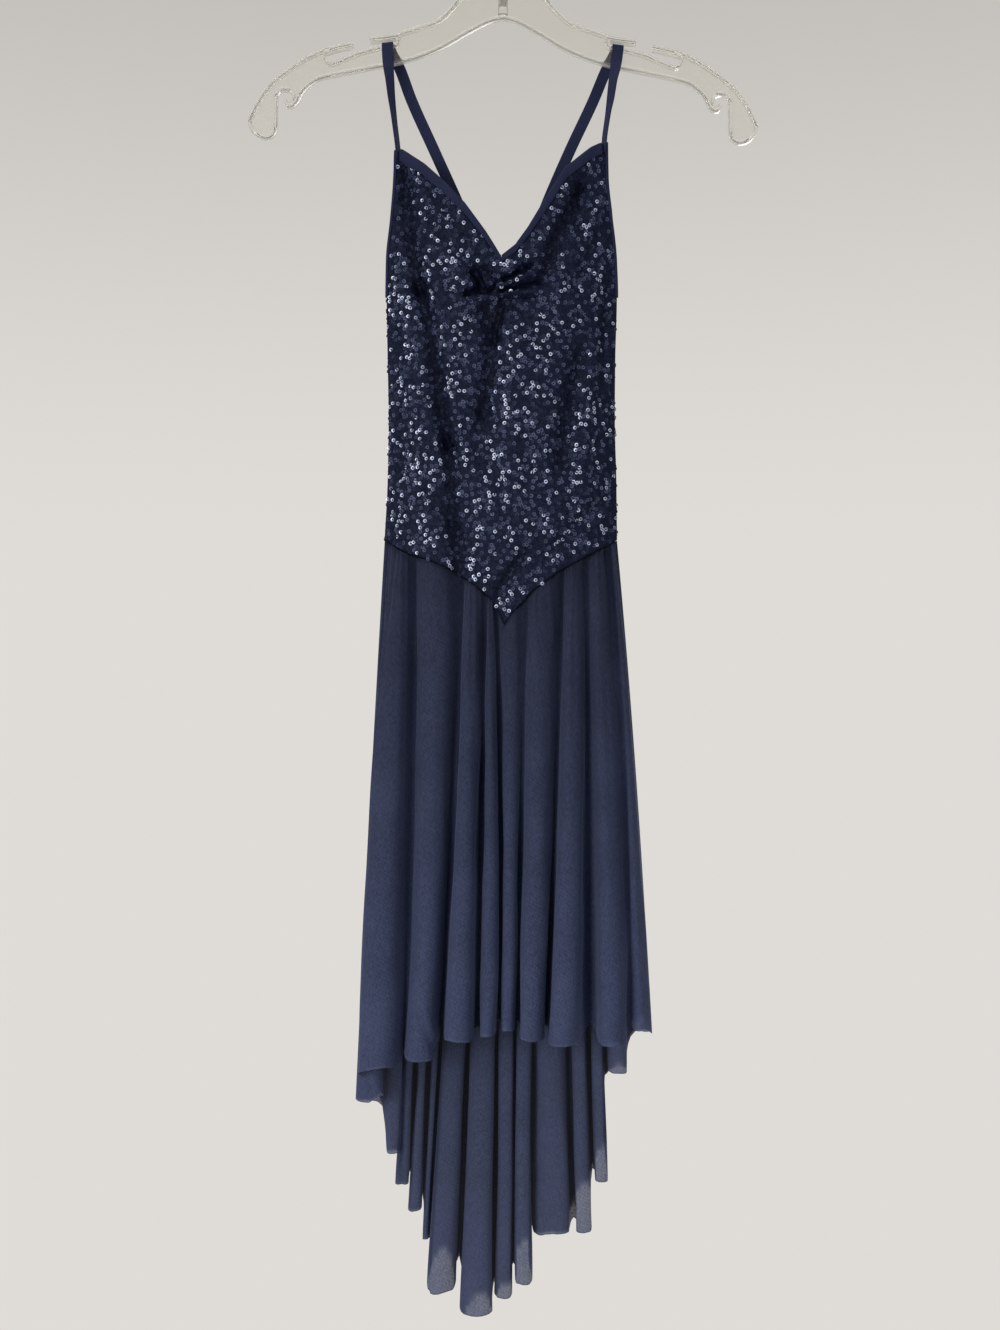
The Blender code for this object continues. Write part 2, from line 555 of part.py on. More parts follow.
def strap(name, path, hand, mat):
    """A flat strap through its stations."""
    x, y, z, turn = column(path, 1, 2, 3, 4)
    centre = np.stack([x, y, z], -1)
    ahead = np.gradient(centre, axis=0)
    ahead /= np.linalg.norm(ahead, axis=1, keepdims=True)
    loops = []
    for i in range(len(centre)):
        bank = math.radians(STRAP_BANK) * hand
        face = math.radians(turn[i]) * -hand
        across = np.array([math.cos(face), math.sin(face), 0.0])
        over = abs(y[i]) < 5.6 and z[i] > -146
        if over:
            across = np.array([math.cos(bank), 0.0, -math.sin(bank)])
        across = across - ahead[i] * (across @ ahead[i])
        across /= np.linalg.norm(across)
        n = np.cross(ahead[i], across)
        w, t = across * STRAP_WIDTH / 2, n * STRAP_CLOTH / 2
        loops.append([centre[i] - w - t, centre[i] + w - t, centre[i] + w + t,
                      centre[i] - w + t])
    return tube(name, loops, mat)


# Hanger

def lean(x, z):
    """The hanger's arms hang a little lower on the viewer's right."""
    return z + HANGER_LEAN * x


def ribbon(name, table, hand, width, half_depth, mat):
    """A rim that follows an edge of the hanger."""
    xs, zs = column(table, 1, 2)
    pts = np.stack([xs * hand, zs], -1)
    step = np.gradient(pts, axis=0)
    step /= np.linalg.norm(step, axis=1, keepdims=True)
    side = np.stack([-step[:, 1], step[:, 0]], -1) * width / 2
    loop = list(pts + side) + list((pts - side)[::-1])
    return prism(name, [(p[0], lean(p[0], p[1])) for p in loop], half_depth, mat)


def unite(target, others, operation="UNION"):
    """Exact Boolean of solids into the first one."""
    for other in others:
        mod = target.modifiers.new("join", "BOOLEAN")
        mod.operation = operation
        mod.solver = "EXACT"
        mod.object = other
        bpy.context.view_layer.update()
        deps = bpy.context.evaluated_depsgraph_get()
        mesh = bpy.data.meshes.new_from_object(target.evaluated_get(deps))
        target.modifiers.clear()
        target.data = mesh
        bpy.data.objects.remove(other, do_unlink=True)


def round_bar(name, radius, z_low, z_high, sides, mat):
    """An upright round bar on the centre line."""
    loops = []
    for z in (z_low, z_high):
        loops.append([(radius * math.cos(2 * math.pi * k / sides),
                       radius * math.sin(2 * math.pi * k / sides), z) for k in range(sides)])
    return tube(name, loops, mat)


def hanger_frame(mat):
    """The clear frame: a thin web with rims on its edges and a socket for the hook."""
    outline = []
    for hand in (-1, 1):
        half = [row[1:] for row in HANGER_NECK]
        half += [row[1:] for row in HANGER_FLOOR[1:]]
        half += [row[1:] for row in HANGER_ARM[1:]]
        half += [row[1:] for row in HANGER_LOWER[::-1][:-1]]
        if hand > 0:
            half = half[::-1]
        outline += [(hand * x, lean(hand * x, z)) for x, z in half]
        if hand < 0:
            outline.append((0.0, HANGER_LOWER[0][2]))
    frame = prism("hanger_frame", outline, WEB_HALF_DEPTH, mat)
    parts = []
    for hand in (-1, 1):
        tag = "l" if hand < 0 else "r"
        runs = [("neck", HANGER_NECK, RIM_WIDTH, 4.1), ("lip", HANGER_LIP, 3.8, 4.5),
                ("outer", HANGER_OUTER_LIP, 3.8, 4.4), ("arm", HANGER_ARM, RIM_WIDTH, 4.2),
                ("floor", HANGER_FLOOR, RIM_WIDTH, 4.3)]
        for label, table, width, depth in runs:
            parts.append(ribbon(f"{label}_{tag}", table, hand, width, depth, mat))
    lower = [("", -row[1], row[2]) for row in HANGER_LOWER[:0:-1]] + list(HANGER_LOWER)
    parts.append(ribbon("lower", lower, 1, RIM_WIDTH, 4.0, mat))
    parts.append(round_bar("boss", 4.2, -112.0, -58.0, 16, mat))
    unite(frame, parts)
    bore = round_bar("bore", HOOK_WIRE_RADIUS + SEAM_GAP, -106.0, -50.0, 12, mat)
    unite(frame, [bore], "DIFFERENCE")
    return frame


def hook(mat):
    """A wire hook whose inner top is the origin."""
    radius = HOOK_INNER_RADIUS + HOOK_WIRE_RADIUS
    centre_z = -HOOK_INNER_RADIUS
    path = []
    for k in range(19):
        a = math.radians(190 - k * 13.0)
        path.append((radius * math.cos(a), centre_z + radius * math.sin(a)))
    end = path[-1]
    for k in range(1, 5):
        t = k / 4
        bend = 0.5 - 0.5 * math.cos(math.pi * t)
        path.append((end[0] * (1 - t) ** 1.6, end[1] + (-53.0 - end[1]) * (0.35 * t + 0.65 * bend)))
    path += [(0.0, -58.0), (0.0, -80.0), (0.0, -105.7)]
    path = np.array([(x, 0.0, z) for x, z in path])
    ahead = np.gradient(path, axis=0)
    ahead /= np.linalg.norm(ahead, axis=1, keepdims=True)
    loops = []
    for p, d in zip(path, ahead):
        side = np.cross(d, [0.0, 1.0, 0.0])
        loops.append([p + HOOK_WIRE_RADIUS * (side * math.cos(a) + np.array([0, 1, 0])
                                              * math.sin(a))
                      for a in np.linspace(0, 2 * math.pi, 10, endpoint=False)])
    return tube("hanger_hook", loops, mat)


def main():
    for obj in list(bpy.data.objects):
        bpy.data.objects.remove(obj, do_unlink=True)
    clear = material("clear_plastic", (0.93, 0.94, 0.93), 0.08, 0.0, 1.0)
    steel = material("chrome_wire", (0.78, 0.78, 0.80), 0.18, 1.0)
    sequin = material("sequin_mesh", (0.016, 0.019, 0.045), 0.45)
    chiffon = material("navy_mesh", (0.060, 0.066, 0.118), 0.75)
    band = material("navy_binding", (0.026, 0.027, 0.072), 0.7)

    hanger_frame(clear)
    hook(steel)
    strap("strap_left", STRAP_LEFT, -1, band)
    strap("strap_right", STRAP_RIGHT, 1, band)

    corner = 0.964
    start = 0.952
    left = np.concatenate([[-1.0, -corner], np.linspace(-start, -0.42, 9)[:-1],
                           np.linspace(-0.42, -0.0016, 12)])
    right = -left[::-1]
    right[1] = 0.033
    back = np.concatenate([[-1.0], np.linspace(-0.985, 0.985, 27), [1.0]])
    bodice_panel("front_bodice", -1, NECK_EDGE, FRONT_SEAM, NECK_DROPS,
                 np.concatenate([left, right]), 15, sequin)
    bodice_panel("back_bodice", 1, BACK_EDGE, BACK_SEAM, BACK_DROPS, back, 7, sequin)
    edge_binding("neck_binding_left", -1, NECK_EDGE, NECK_DROPS, left[2:], band)
    edge_binding("neck_binding_right", -1, NECK_EDGE, NECK_DROPS, right[:-2], band)
    armhole_binding("armhole_binding_left", -1, -229.0, UNDERARM_Z + 1.9, 8, band)
    armhole_binding("armhole_binding_right", 1, -222.5, UNDERARM_Z + 1.9, 8, band)
    edge_binding("back_binding", 1, BACK_EDGE, BACK_DROPS, back[1:-1], band)

    skirt_panel("front_skirt", FRONT_FOLDS, FRONT_SEAM, -1, FRONT_ROWS, 4, chiffon)
    skirt_panel("back_skirt", BACK_FOLDS, BACK_SEAM, 1, BACK_ROWS, 4, chiffon)


main()
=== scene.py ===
"""High-low dress on a clear hanger, laid out as a Blender add-on and run as a script.

World frame in metres: the origin is the inner top of the hanger's hook, the dress hangs
below it and faces -Y. Tables are in millimetres.
"""
import math

import bmesh
import bpy
import numpy as np
from bpy.props import FloatProperty, FloatVectorProperty, IntProperty, PointerProperty
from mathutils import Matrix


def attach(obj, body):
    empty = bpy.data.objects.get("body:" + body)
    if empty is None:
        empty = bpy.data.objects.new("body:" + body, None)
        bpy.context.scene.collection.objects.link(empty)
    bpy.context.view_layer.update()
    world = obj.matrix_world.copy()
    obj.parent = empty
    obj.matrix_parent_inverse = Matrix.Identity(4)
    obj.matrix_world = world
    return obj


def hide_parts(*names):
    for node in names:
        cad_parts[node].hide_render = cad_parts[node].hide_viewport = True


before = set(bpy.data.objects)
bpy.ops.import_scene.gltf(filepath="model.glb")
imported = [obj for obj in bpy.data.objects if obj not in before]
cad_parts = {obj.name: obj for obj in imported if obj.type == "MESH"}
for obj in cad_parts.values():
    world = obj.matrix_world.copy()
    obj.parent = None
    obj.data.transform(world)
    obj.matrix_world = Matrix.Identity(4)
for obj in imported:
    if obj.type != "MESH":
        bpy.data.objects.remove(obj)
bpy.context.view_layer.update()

bl_info = {
    "name": "High-low dress",
    "version": (1, 0, 0),
    "blender": (4, 5, 0),
    "location": "3D View > Sidebar > Dress",
    "description": "Builds a sequinned high-low dress on its clear hanger",
    "category": "Add Mesh",
}

MM = 0.001

# Joins, in mm
SEAM_GAP = 0.3  # between pieces that meet at a seam
UNDERARM_Z = -352.0  # height of the underarm
BINDING_INSIDE = 0.75  # from a panel's middle to the inside of its binding
BINDING_WAVE = 0.12  # how much a binding's faces wave
STEEPEST_EDGE = 1.6  # steepest slope that a binding's fold is evened out for
ARMHOLE_REACH = 1.5  # how far in an armhole binding reaches
ARMHOLE_END = 1.9  # how far above the underarm it ends
ARMHOLE_TOPS = (-229.0, -222.5)  # heights where the left and right ones start
NECK_SPAN = (-0.952, -0.0016)  # shares of the width between which a neck binding runs

# Bodice
SECTION_POWER = 3.0  # power of a section's curve
HEADING_REACH = 0.985  # share of the width up to which the surface's heading is taken
TROUGH_BEND = 1.4  # how strongly the troughs bend the surface
CREASE_BEND = 0.35  # how far a crease curves, as a share of its half width
BODICE_RIPPLES = ((0.55, 11.0, 26.0, 5), (0.25, 5.0, 9.0, 6))  # depth, across, down, seed
GATHER_SHADE = 1.5  # how strongly the gathers darken it
DEEPEST_SHADE = 6.0  # depth in mm from which a fold grows no darker
SEAM_SHADE = 5.0  # depth in mm that the shade along a seam stands for
SEAM_SHADOW = 2.2  # width in mm of that shade

# Counts of points
FRONT_GRID = (190, 200)  # across and down the front panel
BACK_GRID = (110, 70)  # across and down the back panel
SEQUIN_GRID = (190, 200)  # across and down the skin that sequins are sewn to
COLUMN_CROWD = 0.22  # how much closer columns stand by the side edges
ROW_CROWD = 1.4  # how much closer rows stand by the top edge
NECK_POINTS = 70  # along a neck binding
BACK_POINTS = 110  # along the back binding
ARMHOLE_ROWS = 40  # down an armhole binding
FOLD_STEPS = (14, 13)  # between two folds of the skirt, in front and behind
EVEN_ROWS_END = 0.985  # share of the skirt's length where its even rows end
HEM_ROWS = (0.989, 0.992, 0.9945, 0.9965, 0.998, 0.999, 1.0)  # closer rows by the hem
CURVE_STEPS = 3  # for each stretch of the hanger's edges
RIPPLE_CELLS = 61  # across and down a table of uneven values

# Gaps between the skirt's folds, which dent the cloth and carry painted shade
GAP_SLOPE = 0.38  # width of the soft side in front, as a share of the fold
BACK_SLOPE = 0.12  # the same behind
GAP_STEP = 1.3  # width of the sharp side in mm
GAP_DEPTH = 2.8  # depth in mm at the waist
GAP_LOSS = 0.4  # depth lost down to the hem
GAP_UNEVEN = 0.9  # how far the depth varies
GAP_DENT = 0.6  # share of the depth that dents the cloth
BACK_GAP_SHADE = 0.72  # share of the depth that is shaded behind

# Skirt, in mm where it is a length
VALLEY_HEADING = 25.0  # largest heading of a valley in degrees
FOLD_LEAN = 0.30  # how far a fold of the front leans over its valley
LEAN_LOSS = 0.75  # share of the lean that is lost down to the hem
START_OPEN = 0.03  # how far the folds are open at once under the seam
WAIST_VALLEY = 2.4  # depth of a valley at the waist
VALLEY_FADE = 0.16  # share of the length in which that fades
GATHER_DEPTH = 1.25  # depth of the gathers at the waist
GATHER_FADE = 0.12  # share of the length in which they fade
GATHER_RUN = 2.35  # run of the cloth for each radian of a gather
SKIRT_LENGTH = 420.0  # length that the looks of the hem are measured on
CURL = 1.5  # how far the raw hem curls
CURL_HEIGHT = 9.0  # height above the hem in which the curl fades
SIDE_FADE = 14.0  # distance from a side seam in which the cloth lies still
SEAM_DARKNESS = 2.5  # depth that the shade right under the waist seam stands for

# Soft waves of the skirt: depth, size along, waves down, seed, share of full height, least
SKIRT_WAVES = ((0.9, 15.0, 5.0, 2, 0.2, 0.0), (0.45, 6.5, 9.0, 3, 0.15, 0.3))

# Waves of the hem's edge: depth, size along, row of the table, seed, power down the skirt
HEM_WAVES = ((1.6, 13.0, 1.5, 5, 6), (0.5, 3.0, 2.5, 6, 8))

# Straps
STRAP_BANK = 8.0  # turn in degrees where they lie on the hanger
STRAP_REST_Z = -150.0  # height in mm where they start to lie on it
STRAP_STEP = 3.0  # length in mm between points
STRAP_WAVE = 0.12  # how far a strap's face waves, in mm

# Sewn detail, in mm where it is a length
SEQUIN_SIDES = 9
# The rim column weights each ring's painted rim highlight
SEQUIN_RINGS = ((1.0, 0.12, 1.0), (0.80, 0.10, 0.0), (0.46, -0.12, 0.6))  # share, height, rim
SEQUIN_DENSITY = 600000.0  # most sequins for each square metre, before their spacing
SEQUIN_LIFT = 0.25  # height above the cloth
# Towards the front-left light; sequins that face it get more painted glints
TOWARDS_LIGHT = (-0.45, -0.88, 0.12)
FEWEST_FACES = 1000  # faces under which the sequins count as missing
STITCH_SIDES = 6
STITCH_RINGS = ((-0.5, 0.25), (-0.3, 0.9), (0.0, 1.0), (0.3, 0.9), (0.5, 0.25))  # place, width
STITCH_LENGTH = 2.2
STITCH_STEP = 3.0
STITCH_WIDTH = 0.45
STITCH_LIFT = 0.18  # height above the binding
STITCH_DROP = 0.8  # share of the binding's width from its fold to the stitches

# Hanger, in mm
HANGER_LEAN = -0.0105  # fall to the viewer's right for each mm across
WEB_HALF_DEPTH = 1.25
RIM_ROUND = 0.5  # radius of a rim's corners
LOWER_RIM = (2.6, 4.0)  # width, half depth
BOSS = (4.2, -112.0, -58.0, 24)  # radius, low end, high end, sides
BORE = (2.3, -106.0, -50.0, 16)
SHARP_ANGLE = 55.0  # degrees from which an edge is sharp
EDGE_FACING = 0.3  # share of depth in a face's normal under which it is an edge

# Hook, in mm
HOOK_INNER = 19.0  # inner radius
HOOK_WIRE = 2.0  # radius of the wire
HOOK_TIP = 190.0  # angle of the tip in degrees
HOOK_STEP = 6.5  # angle of a step round in degrees
HOOK_STEPS = 37
HOOK_SIDES = 20
NECK_STEPS = 12
STEM_TOP = -53.0
STEM = (-55.0, -58.0, -66.0, -80.0, -95.0, -105.0, -105.7)  # heights down the stem

# Looks that no property holds
SKIRT_FOLD = (3.2, (0.36, 0.40, 0.48))  # reach in mm and tint of the shade in the folds
BODICE_FOLD = (5.0, (0.18, 0.24, 0.36))
# Painted light shining through the single cloth at the raw hem
HEM_LIGHT_THROUGH = (0.12, 0.145, 0.27, 1)
# Painted shade: the skirt turns darker and greyer towards the waist
WAIST_SHADE_TINT = (0.48, 0.45, 0.43, 1)
# Painted highlight on some sequins' rims and painted glint on a few sequins' lit side, each with
# the glint shares where it shows
RIM_HIGHLIGHT = (0.27, 0.32, 0.56, 1)
RIM_HIGHLIGHT_SHARES = (0.46, 0.88, 0.0, 1.0)  # glint over which a sequin's rim turns pale
LIT_SEQUIN = (0.72, 0.79, 1.0, 1)
LIT_SHARES = (0.855, 0.885, 0.0, 1.0)  # glint over which its face is lit
SHEEN_TINT = (0.5, 0.6, 1.0, 1)
CHROME = (0.78, 0.78, 0.80, 1)
FACE_CLEARNESS = 0.95
# Milkier plastic on the hanger's edge faces stands in for their highlights: painted highlight
EDGE_HIGHLIGHT_CLEARNESS = 0.60
LOW_WALL = (0.74, 0.715, 0.68, 1)
HIGH_WALL = (0.46, 0.44, 0.41, 1)
ROOM = (0.33, 0.32, 0.305, 1)
FLOOR_PAINT = (0.62, 0.60, 0.56, 1)

# Cloths: dark and light share of the colour, yarns, depth, patches, roughness, sheen
CLOTHS = {
    "skirt_mesh": ((0.54, 1.46), 600.0, 0.5, 24.0, 0.88, 0.22),
    "bodice_mesh": ((0.6, 1.4), 1200.0, 0.5, 60.0, 0.7, 0.02),
    "binding": ((0.75, 1.3), 1400.0, 0.25, 60.0, 0.8, 0.12),
    "thread": ((0.8, 1.5), 3000.0, 0.3, 90.0, 0.6, 0.1),
}

# Camera, in mm
CAMERA_DISTANCE = 1300.0
CAMERA_X = -2.5
CAMERA_Z = -659.3
PIXEL = 0.842  # what a pixel of the photo measures in the hanger's plane
PHOTO_HEIGHT = 1330  # height of the photo in pixels
SENSOR = 36.0

# Floor, in mm
FLOOR = ((-2000, -2000), (2000, -2000), (2000, 1500), (-2000, 1500))
FLOOR_Z = -1900.0

# Lamps: name, place in metres, size, power, tint
LAMPS = [
    ("window", (-1.15, -1.7, -0.5), 0.9, 24.0, (1.0, 0.98, 0.95)),
    ("fill", (1.5, -1.8, -0.6), 1.6, 9.0, (0.92, 0.95, 1.0)),
    ("ceiling", (-0.2, -0.1, 0.9), 0.9, 7.0, (1.0, 0.97, 0.90)),
    ("behind", (0.9, 1.7, -0.4), 1.2, 9.0, (1.0, 0.98, 0.96)),
]
LAMP_AIM = (0.0, 0.0, -0.65)

# Bodice sections: height, left edge, right edge, front fullness, back fullness, front edge
# set forward, back edge set back
BODICE_SECTIONS = [
    ("strap corner", -222.0, -89.6, 86.6, 13.0, 9.0, -9.0, 8.0),
    ("upper chest", -251.0, -90.8, 87.2, 17.0, 11.0, -7.0, 7.0),
    ("bust", -284.6, -93.4, 90.8, 21.0, 13.0, -4.5, 5.0),
    ("under bust", -318.3, -97.0, 94.4, 23.5, 14.0, -2.2, 3.0),
    ("underarm", -352.0, -97.6, 95.6, 24.0, 15.0, -0.75, 0.75),
    ("ribs", -402.5, -96.8, 94.3, 22.0, 15.0, -0.75, 0.75),
    ("waist", -453.0, -96.0, 93.9, 20.5, 14.0, -0.75, 0.75),
    ("hip", -503.5, -96.8, 95.2, 21.5, 14.5, -0.75, 0.75),
    ("seam", -555.0, -99.4, 95.8, 23.0, 16.0, -0.75, 0.75),
    ("below seam", -640.0, -103.0, 99.0, 25.0, 18.0, -0.75, 0.75),
]

# Edges, viewer's left to right: place across, height
NECK_EDGE = [
    ("corner left", -90.5, -230.0), ("strap end left", -84.5, -230.0),
    ("slope", -65.6, -244.1), ("slope", -50.7, -258.2), ("slope", -32.4, -278.2),
    ("lower", -15.0, -302.2), ("point", -2.0, -323.0), ("lower", 10.8, -313.0),
    ("slope", 21.6, -298.1), ("slope", 38.2, -270.3), ("slope", 52.3, -247.4),
    ("slope", 73.9, -228.8), ("strap end right", 80.5, -225.0),
    ("corner right", 87.5, -223.0),
]
BACK_EDGE = [
    ("side", -97.6, -352.0), ("shoulder blade", -70.0, -384.0), ("dip", -35.0, -413.0),
    ("centre", -2.0, -424.0), ("dip", 32.0, -413.0), ("shoulder blade", 67.0, -384.0),
    ("side", 95.6, -352.0),
]
FRONT_SEAM = [
    ("side", -99.4, -554.5), ("slope", -88.1, -562.3), ("slope", -77.6, -567.5),
    ("slope", -61.4, -572.8), ("slope", -42.5, -580.9), ("slope", -23.4, -593.7),
    ("slope", -9.1, -606.1), ("slope", -3.8, -615.0), ("tip", 1.3, -626.1),
    ("slope", 6.8, -617.5), ("slope", 13.0, -610.9), ("slope", 24.4, -598.5),
    ("slope", 46.4, -582.2), ("slope", 70.1, -568.9), ("slope", 84.4, -561.5),
    ("side", 95.8, -554.5),
]
BACK_SEAM = [
    ("side", -99.4, -554.5), ("slope", -50.0, -567.0), ("centre", -2.0, -573.0),
    ("slope", 46.0, -567.0), ("side", 95.8, -554.5),
]

# How far the bindings reach down from the edges: share of the width, drop
NECK_DROPS = [
    ("corner left", -1.0, 8.4), ("slope", -0.7, 8.6), ("slope", -0.4, 8.2),
    ("slope", -0.2, 5.6), ("point", 0.0, 4.0), ("slope", 0.2, 5.6), ("slope", 0.4, 8.2),
    ("slope", 0.7, 8.6), ("corner right", 1.0, 8.4),
]
BACK_DROPS = [("side", -1.0, 6.0), ("side", 1.0, 6.0)]

# Soft troughs (positive) and ridges (negative) of the bodice: start across, start height,
# end across, end height, half width, depth
BODICE_TROUGHS = [
    ("left upper", -81.0, -247.0, -71.0, -345.0, 7.0, 4.4),
    ("left long", -71.0, -345.0, -44.0, -475.0, 7.0, 4.8),
    ("left low", -44.0, -475.0, -36.0, -585.0, 6.5, 3.8),
    ("left crest", -58.0, -330.0, -33.0, -460.0, 8.0, -1.6),
    ("left side", -90.0, -370.0, -84.0, -500.0, 5.0, 1.6),
    ("centre", -10.0, -368.0, -17.0, -450.0, 8.0, 4.0),
    ("centre low", -17.0, -450.0, -22.0, -500.0, 6.0, 1.8),
    ("centre crest", 10.0, -385.0, 6.0, -500.0, 10.0, -1.4),
    ("right waist", 62.0, -400.0, 50.0, -492.0, 8.0, 3.4),
    ("right crest", 76.0, -400.0, 66.0, -520.0, 7.0, -1.5),
    ("right side", 86.0, -330.0, 84.0, -420.0, 5.0, 1.7),
    ("right bust", 62.0, -262.0, 36.0, -338.0, 6.5, 4.0),
    ("right bust top", 70.0, -250.0, 58.0, -292.0, 4.0, 1.8),
    ("right swag", 88.0, -285.0, 60.0, -345.0, 5.0, 1.8),
    ("right low", 24.0, -555.0, -5.0, -602.0, 4.5, 2.6),
    ("left low slant", -62.0, -515.0, -30.0, -560.0, 5.0, 1.6),
    ("hip slant", 80.0, -520.0, 44.0, -560.0, 5.0, 1.4),
    ("left swag", -62.0, -262.0, -22.0, -318.0, 4.0, 1.8),
    ("left swag low", -60.0, -290.0, -24.0, -338.0, 4.5, 1.6),
]

# Gathers that run into the knot under the V: start across, start height, end across,
# end height, half width, depth
KNOT_GATHERS = [
    ("pit", -5.2, -345.2, -4.0, -349.0, 3.6, 3.4),
    ("long roll", -6.6, -347.9, 27.8, -334.9, 1.5, -3.0),
    ("over long roll", 1.0, -340.5, 22.0, -329.0, 3.0, 6.2),
    ("short roll", 4.0, -335.0, 15.0, -324.5, 1.7, -2.6),
    ("under long roll", 1.6, -349.0, 28.5, -342.6, 2.6, 6.0),
    ("right pleat", 0.0, -352.1, 27.0, -351.0, 1.5, -2.6),
    ("under right pleat", 4.0, -355.8, 29.0, -354.8, 1.9, 3.0),
    ("right low", 6.0, -361.0, 24.0, -372.0, 3.0, 1.6),
    ("left pocket", -22.5, -334.0, -19.0, -345.5, 4.8, 7.0),
    ("pocket roof", -12.0, -345.5, -16.5, -337.5, 1.6, -2.4),
    ("left valley", -31.5, -351.8, -9.6, -349.2, 3.2, 7.0),
    ("left pleat", -33.0, -357.6, -8.0, -355.2, 1.7, -2.6),
    ("left low", -12.0, -361.0, -30.0, -374.0, 3.0, 1.8),
    ("upper left", -15.5, -330.5, -5.5, -342.0, 3.2, 3.4),
    ("down", -1.4, -357.0, -5.2, -390.0, 4.0, 4.2),
]
BACK_TROUGHS = [
    ("left", -60.0, -400.0, -44.0, -520.0, 8.0, 3.4),
    ("centre", 4.0, -440.0, -6.0, -540.0, 8.0, 3.0),
    ("right", 58.0, -405.0, 47.0, -530.0, 8.0, 3.2),
    ("left slant", -80.0, -500.0, -40.0, -548.0, 5.0, 1.8),
    ("right slant", 76.0, -495.0, 38.0, -545.0, 5.0, 1.8),
    ("edge left", -40.0, -420.0, -24.0, -470.0, 5.0, 1.5),
    ("edge right", 30.0, -420.0, 22.0, -468.0, 5.0, 1.6),
]

# Skirt folds, viewer's left to right: place at the seam, half way down and at the hem,
# height and depth at the hem, heading of the cloth at the hem in degrees, how late the
# fold opens, how wide it turns
FRONT_FOLDS = [
    ("side seam", -99.4, -112.5, -124.0, -1024.7, 3.0, -90.0, 0.9, 1.2),
    ("inner wall", -97.0, -108.0, -112.0, -1025.5, -9.0, 0.0, 0.9, 1.2),
    ("turn", -94.8, -101.8, -99.8, -1016.9, -16.0, -90.0, 0.9, 1.2),
    ("return", -92.5, -104.6, -108.4, -1005.8, -23.0, -180.0, 0.9, 1.2),
    ("left edge", -90.4, -110.6, -118.2, -993.3, -33.0, -90.0, 0.9, 1.2),
    ("crest 1", -84.4, -92.9, -98.3, -987.2, -47.0, 0.0, 0.8, 1.8),
    ("valley A", -73.3, -74.5, -81.8, -977.0, -24.0, 0.0, 0.8, 0.45),
    ("crest 2", -53.9, -56.3, -66.8, -982.2, -44.0, 0.0, 1.1, 1.9),
    ("valley B", -33.2, -40.2, -51.4, -961.0, -20.0, 0.0, 0.7, 0.45),
    ("crest 3", -23.2, -28.2, -35.7, -965.8, -48.0, 0.0, 0.8, 1.8),
    ("valley C", -14.3, -17.4, -21.1, -959.0, -24.0, 0.0, 0.7, 0.45),
    ("crest 4", -9.6, -9.1, -12.3, -962.4, -42.0, 0.0, 0.8, 1.7),
    ("valley D", -5.0, -1.7, -3.3, -955.0, -20.0, 0.0, 0.7, 0.45),
    ("crest 5", 7.4, 6.6, 4.9, -959.3, -38.0, 0.0, 0.9, 1.8),
    ("valley E", 19.9, 15.3, 12.4, -955.0, -22.0, 0.0, 0.7, 0.45),
    ("crest 6", 34.8, 30.6, 22.7, -965.5, -46.0, 0.0, 1.0, 1.9),
    ("valley F", 49.7, 43.9, 35.7, -958.0, -18.0, 0.0, 0.7, 0.45),
    ("crest 7", 60.5, 57.9, 46.9, -968.6, -50.0, 0.0, 1.1, 1.8),
    ("valley soft", 70.5, 72.0, 72.9, -958.0, -20.0, 0.0, 1.5, 0.9),
    ("crest 8", 81.2, 88.6, 88.6, -969.2, -44.0, 0.0, 1.0, 1.7),
    ("valley G", 89.5, 101.8, 105.1, -953.0, -22.0, 0.0, 0.8, 0.45),
    ("crest 9", 93.2, 107.4, 113.8, -961.3, -26.0, 30.0, 0.9, 1.2),
    ("side seam", 95.8, 112.6, 124.8, -968.8, 2.0, 90.0, 0.9, 1.2),
]
